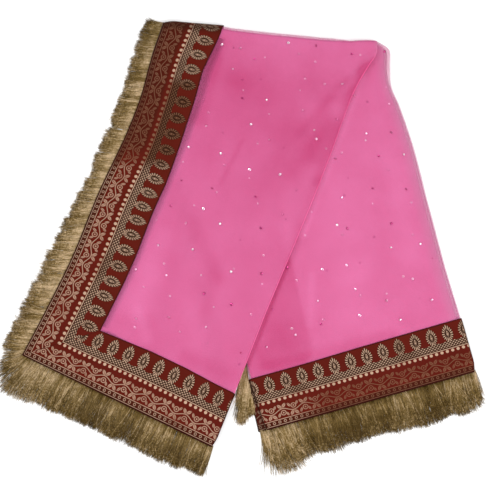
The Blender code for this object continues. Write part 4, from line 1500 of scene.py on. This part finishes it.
def leaf_motif(along, into, hatch):
    """A pointed fan of short strokes round a hatched heart, and the dark shape it stands on."""
    x, y = abs(cell(along, REPEAT)) / MOTIF_HALF, into - MOTIF_MIDDLE
    upper, lower = y / MOTIF_TIP, y / MOTIF_FOOT
    pointed = (x + (x * x + upper * upper * 4).math("SQRT")) * 0.5
    rounded = hypotenuse(x, lower)
    is_upper = y.above(0, 0.05)
    pointed = pointed * 0.6 + hypotenuse(x, upper) * 0.4
    size = pointed * is_upper + rounded * (1 - is_upper)
    height = upper * is_upper * 1.2 + lower * (1 - is_upper)
    angle = x.math("ARCTAN2", height)
    wave = (angle * MOTIF_PETALS).math("COSINE")
    stroke = (wave - (abs(size - 0.72) / 0.29) ** 2 * 1.1).above(0.12, 0.24)
    heart = (1 - (size + x * 0.5).above(0.36, 0.05)) * (hatch * 0.6 + 0.32)
    return either(stroke, heart), 1 - size.above(0.97, 0.05)


def zari_design(along, into):
    """How much gold thread shows at each place, and how much the ground is darkened there."""
    lines = either(*(into.between(*line, SOFT) * 0.8 for line in CHAIN_LINES),
                   into.between(*DOTS_LINE, SOFT))
    chain = hypotenuse(cell(along, DOT_PITCH), into - CHAIN_MIDDLE)
    ring = (1 - abs(chain - 1.5).above(0.48, SOFT)) * 0.6
    dots = 1 - hypotenuse(cell(along, DOT_PITCH), into - DOTS_MIDDLE).above(2.1, SOFT)
    a, b = along / LATTICE_PITCH, (into - LATTICE_FOOT) / LATTICE_HEIGHT
    gaps = either(*(abs(slant % 1 - 0.5).above(0.28, 0.06) for slant in (a + b, a - b)))
    rise = (REPEAT / 2 - abs(cell(along, REPEAT))) * (LATTICE_RISE / (REPEAT / 2)) + LATTICE_TOP
    lattice = into.above(LATTICE_FOOT, SOFT) * (rise - into).above(0, SOFT)
    motif, shadow = leaf_motif(along, into, 1 - gaps)
    beads = lattice * (1 - gaps) * 0.85
    gold = either(lines, ring, dots * 0.95, beads, vine(along, into) * 0.66, motif)
    return gold, either(lattice, shadow, into.between(*DARK_BESIDE_DOTS, 0.2) * 0.8)


# %% Tape finish
# Where the gold is duller, partly worn and partly a painted loss of its sheen, in m from the
# middle of the stole.
SIDE_LEFT_OF = 0.05              # the side border lies left of this
WEAR_AND_DULL_SHEEN_ABOVE = 0.122
SIDE_WEAR_AND_DULL_SHEEN = (0.102, 0.226)
END_WEAR_AND_DULL_SHEEN_RIGHT_OF, END_WEAR_AND_DULL_SHEEN_BELOW = 0.085, 0.05
OUTER_PART = 31.0                # the wear and dull sheen reach this far in from the outer edge, in mm
WEFT_PITCH, WARP_PITCH = 0.55, 0.42      # in mm


# shade darkens the whole piece, as a painted shade.
def tape_finish(name, shade=0.0):
    finish = Finish(name, Specular_IOR_Level=0.04)
    x, y = finish.place("Object")
    along, into = (distance * 1000 for distance in finish.place("UV"))
    gold, dark = zari_design(along, into)
    weft = (along * (2 * math.pi / WEFT_PITCH)).math("SINE")
    warp = (into * (2 * math.pi / WARP_PITCH)).math("SINE")
    wear = finish.noise(26.0, 4.0)
    outer = 1 - into.above(OUTER_PART, 4.0)
    # Zones of duller gold, with browner ground in the upper one: partly wear, partly a painted loss
    # of sheen where the light does not catch the zari.
    on_side = (SIDE_LEFT_OF - x).above(0.0, 0.02)
    top_wear_and_dull_sheen = y.above(WEAR_AND_DULL_SHEEN_ABOVE, 0.014) * outer
    side_wear_and_dull_sheen = on_side * either(y.between(*SIDE_WEAR_AND_DULL_SHEEN, 0.012) * 0.9, top_wear_and_dull_sheen * 0.85)
    end_wear_and_dull_sheen = x.above(END_WEAR_AND_DULL_SHEEN_RIGHT_OF, 0.03) * (0 - y).above(END_WEAR_AND_DULL_SHEEN_BELOW, 0.02) * outer
    wear_and_dull_sheen = either(side_wear_and_dull_sheen, end_wear_and_dull_sheen * 0.9, wear.above(0.62, 0.14) * 0.55)
    bright, dull = dye(216, 179, 152), dye(118, 72, 48)
    zari = finish.mix(wear_and_dull_sheen, bright, dull)
    zari = finish.mix(weft * 0.10 + 0.12, zari, dye(120, 80, 48))
    ground = finish.mix(wear, dye(86, 24, 14), dye(108, 29, 19))
    ground = finish.mix(warp * 0.08 + 0.1, ground, dye(60, 16, 8))
    brown = either(into.between(*DARK_UNDER_CHAIN, 0.3) * 0.6, dark, on_side * top_wear_and_dull_sheen * 0.45)
    ground = finish.mix(brown, ground, dye(48, 23, 9))
    selvedge = either(1 - into.above(SELVEDGE, 0.2), into.between(*SELVEDGE_LINE, 0.2),
                      into.above(INNER_SELVEDGE, 0.3))
    ground = finish.mix(selvedge * 0.85, ground, dye(52, 16, 12))
    relief = gold * 0.7 + weft * gold * 0.12 + warp * (1 - gold) * 0.10
    # Painted shade: darker where the tape turns away from above and below the top fold, and over
    # the whole piece by the shade given.
    turned = finish.kept("turned")
    colour = finish.mix(gold, ground, zari)
    colour = finish.mix(turned * 0.8 + shade, colour, dye(48, 24, 12))
    finish.give(Base_Color=colour, Metallic=gold * 0.2,
                Roughness=gold * -0.17 + 0.65, Normal=finish.bump(relief, 0.3 * MM, 0.7))
    return finish.material


# Along the edge, in m, the lower tape fades at two marks: how softly, and how much of it.
SHADE_FADES = ((0.15, 0.05, 0.42), (0.36, 0.04, 0.2))


def shade_finish(name):
    """Tape seen dimly through the net, with painted shade: dark beside the upper tape, and lost
    in the pink.
    """
    finish = Finish(name, Roughness=0.8, Specular_IOR_Level=0.0)
    along, across = finish.place("UV")
    weave = finish.noise(500.0)
    shown = 1 - across.above(0.58, 0.42)
    for mark, soft, loss in SHADE_FADES:
        shown = shown * (1 - along.above(mark, soft) * loss)
    finish.give(Base_Color=finish.mix(weave, dye(34, 12, 6), dye(70, 30, 24)), Alpha=shown)
    return finish.material


tape_cloth = tape_finish("tape_cloth")
# The next layer's tape beside the right arm's fold is darkened all over by painted shade.
lower_tape_in_painted_shade = tape_finish("lower_tape_in_painted_shade", 0.55)
shaded_tape = shade_finish("shaded_tape")
print("nodes in the tape's finish:", len(tape_cloth.node_tree.nodes))

# %% [markdown]
# ## Thread, sequins and stitches
#
# Rayon thread is glossy, and its tone changes from lock to lock; each thread carries its own
# number for that, written on its corners when the row was made.  Besides its own tone, that
# number holds painted shade between the locks and low in the pile, and painted glints.

# %% Small finishes
def fringe_finish(name):
    finish = Finish(name, Roughness=0.45, Specular_IOR_Level=0.2)
    tone = finish.kept("tone")
    reach = finish.kept("reach")
    twist = finish.noise(900.0, 1.0)
    mottle = finish.noise(130.0, 3.0)
    curls = finish.noise(480.0, 2.0)
    tone = tone + (reach * (2 * math.pi)).math("SINE") * 0.14 + (curls - 0.5) * reach * 2.2
    tone = tone + (twist - 0.5) * 0.35 + (mottle - 0.5) * 0.9
    # From dark to pale: the dark end carries the painted shade, the pale end the painted glints.
    dark, middle, pale = dye(86, 62, 12), dye(158, 130, 74), dye(236, 208, 168)
    lower = finish.mix(tone.above(0.3, 0.4), dark, middle)
    finish.give(Base_Color=finish.mix(tone.above(0.85, 0.3), lower, pale))
    return finish.material


HEADING_CORDS = 0.8 * MM


def heading_finish(name):
    finish = Finish(name, Roughness=0.6)
    out, along = finish.place("UV")
    cords = (along * (2 * math.pi / HEADING_CORDS) + out * 900).math("SINE")
    finish.give(Base_Color=finish.mix(cords * 0.5 + 0.5, dye(58, 34, 20), dye(112, 88, 54)),
                Normal=finish.bump(cords, 0.15 * MM))
    return finish.material


def sequin_finish(name):
    finish = Finish(name, Metallic=1.0)
    cloud = finish.noise(300.0)
    foil_and_glint = finish.kept("foil_and_glint")
    # Dark pink, pink and white foil: partly the sequin's colour, partly a painted glint.
    foil = finish.mix(foil_and_glint.above(0.38, 0.2), (0.50, 0.05, 0.20, 1), (0.96, 0.60, 0.80, 1))
    foil = finish.mix(foil_and_glint.above(0.82, 0.1), foil, (0.97, 0.90, 0.95, 1))
    finish.give(Base_Color=foil, Roughness=cloud * 0.2 + 0.2)
    return finish.material


def stitch_finish(name):
    finish = Finish(name, Roughness=0.7, Specular_IOR_Level=0.08)
    ply = finish.noise(1500.0)
    finish.give(Base_Color=finish.mix(ply, dye(60, 16, 10), dye(92, 34, 24)))
    return finish.material


thread_cloth = fringe_finish("fringe_thread")
heading_cloth = heading_finish("fringe_heading")
sequin_metal = sequin_finish("sequin_foil")
stitch_thread = stitch_finish("stitch_thread")
print("finishes:", [material.name for material in bpy.data.materials])


# %% Dress each piece, and hide the solids it covers
def dress(piece, material, slot, *nodes):
    piece.data.materials.clear()
    piece.data.materials.append(material)
    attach(piece, "root")
    if nodes:
        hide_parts(*nodes)


for dressed in (
        (left_net, net_cloth, "net", "left_net_face"),
        (right_net, net_cloth, "net", "right_net_face"),
        (left_layers, layer_cloth, "net_layers", "left_inner_layers"),
        (right_layers, layer_cloth, "net_layers", "right_inner_layers"),
        (left_side_tape, tape_cloth, "tape", "left_side_border"),
        (left_end_tape, tape_cloth, "tape", "left_end_border"),
        (right_end_tape, tape_cloth, "tape", "right_end_border"),
        (right_under_tape, lower_tape_in_painted_shade, "tape", "right_under_border"),
        (left_lower_tape_and_shade, shaded_tape, "tape"),
        (left_corner_tape_and_shade, shaded_tape, "tape"),
        (left_side_threads, thread_cloth, "fringe", "left_side_fringe_upper",
         "left_side_fringe_lower"),
        (left_end_threads, thread_cloth, "fringe", "left_end_fringe"),
        (right_end_threads, thread_cloth, "fringe", "right_end_fringe"),
        (right_under_threads, thread_cloth, "fringe", "right_under_fringe"),
        (left_side_heading, heading_cloth, "fringe"),
        (left_end_heading, heading_cloth, "fringe"),
        (right_end_heading, heading_cloth, "fringe"),
        (left_sequins, sequin_metal, "net"),
        (right_sequins, sequin_metal, "net"),
        (left_stitches, stitch_thread, "tape"),
        (right_stitches, stitch_thread, "tape")):
    dress(*dressed)

# %% [markdown]
# ## Floor, light and camera
#
# The stole lies on a plain pale floor.  A large soft lamp to the lower right, a weaker one
# opposite and an even sky keep the shadows short and faint, as daylight near a window does.

# %% Floor
def lay_floor():
    floor = start_from(bpy.ops.mesh.primitive_plane_add, size=8, location=(0, 0, 0))
    floor.name = "floor"
    finish = Finish("floor_paint", Roughness=0.9)
    speck = finish.noise(60.0)
    finish.give(Base_Color=finish.mix(speck, (0.93, 0.93, 0.93, 1), (0.95, 0.95, 0.95, 1)))
    floor.data.materials.append(finish.material)


lay_floor()

# %% Lamps and sky
def soft_lamp(name, place, size, watts):
    lamp = bpy.data.lights.new(name, "AREA")
    lamp.shape, lamp.size, lamp.energy = "DISK", size, watts
    holder = bpy.data.objects.new(name, lamp)
    holder.location = place
    holder.rotation_euler = (-holder.location).to_track_quat("-Z", "Y").to_euler()
    bpy.context.scene.collection.objects.link(holder)


soft_lamp("window", (1.0, -1.2, 2.3), 1.3, 47)
soft_lamp("fill", (-1.6, 0.8, 1.8), 1.4, 15)
sky = bpy.data.worlds.new("sky")
sky.use_nodes = True
sky.node_tree.nodes["Background"].inputs["Color"].default_value = (1, 1, 1, 1)
sky.node_tree.nodes["Background"].inputs["Strength"].default_value = 0.68
bpy.context.scene.world = sky
bpy.context.scene.view_settings.view_transform = "Standard"

# %% Camera
IMAGE_SIZE = (497, 502)
ELEVATION = math.radians(75)
DISTANCE = 1.8
FLOOR_PER_PIXEL = 1.34 * MM      # what one pixel spans at the middle of the floor

lens = bpy.data.cameras.new("camera")
lens.sensor_width = 36
lens.lens = DISTANCE / FLOOR_PER_PIXEL * lens.sensor_width / max(IMAGE_SIZE)
camera = bpy.data.objects.new("camera", lens)
aim = Vector((*-OUTLINE_CENTRE, 0))
camera.location = aim + DISTANCE * Vector((0, -math.cos(ELEVATION), math.sin(ELEVATION)))
camera.rotation_euler = (math.pi / 2 - ELEVATION, 0, 0)
bpy.context.scene.collection.objects.link(camera)
bpy.context.scene.camera = camera
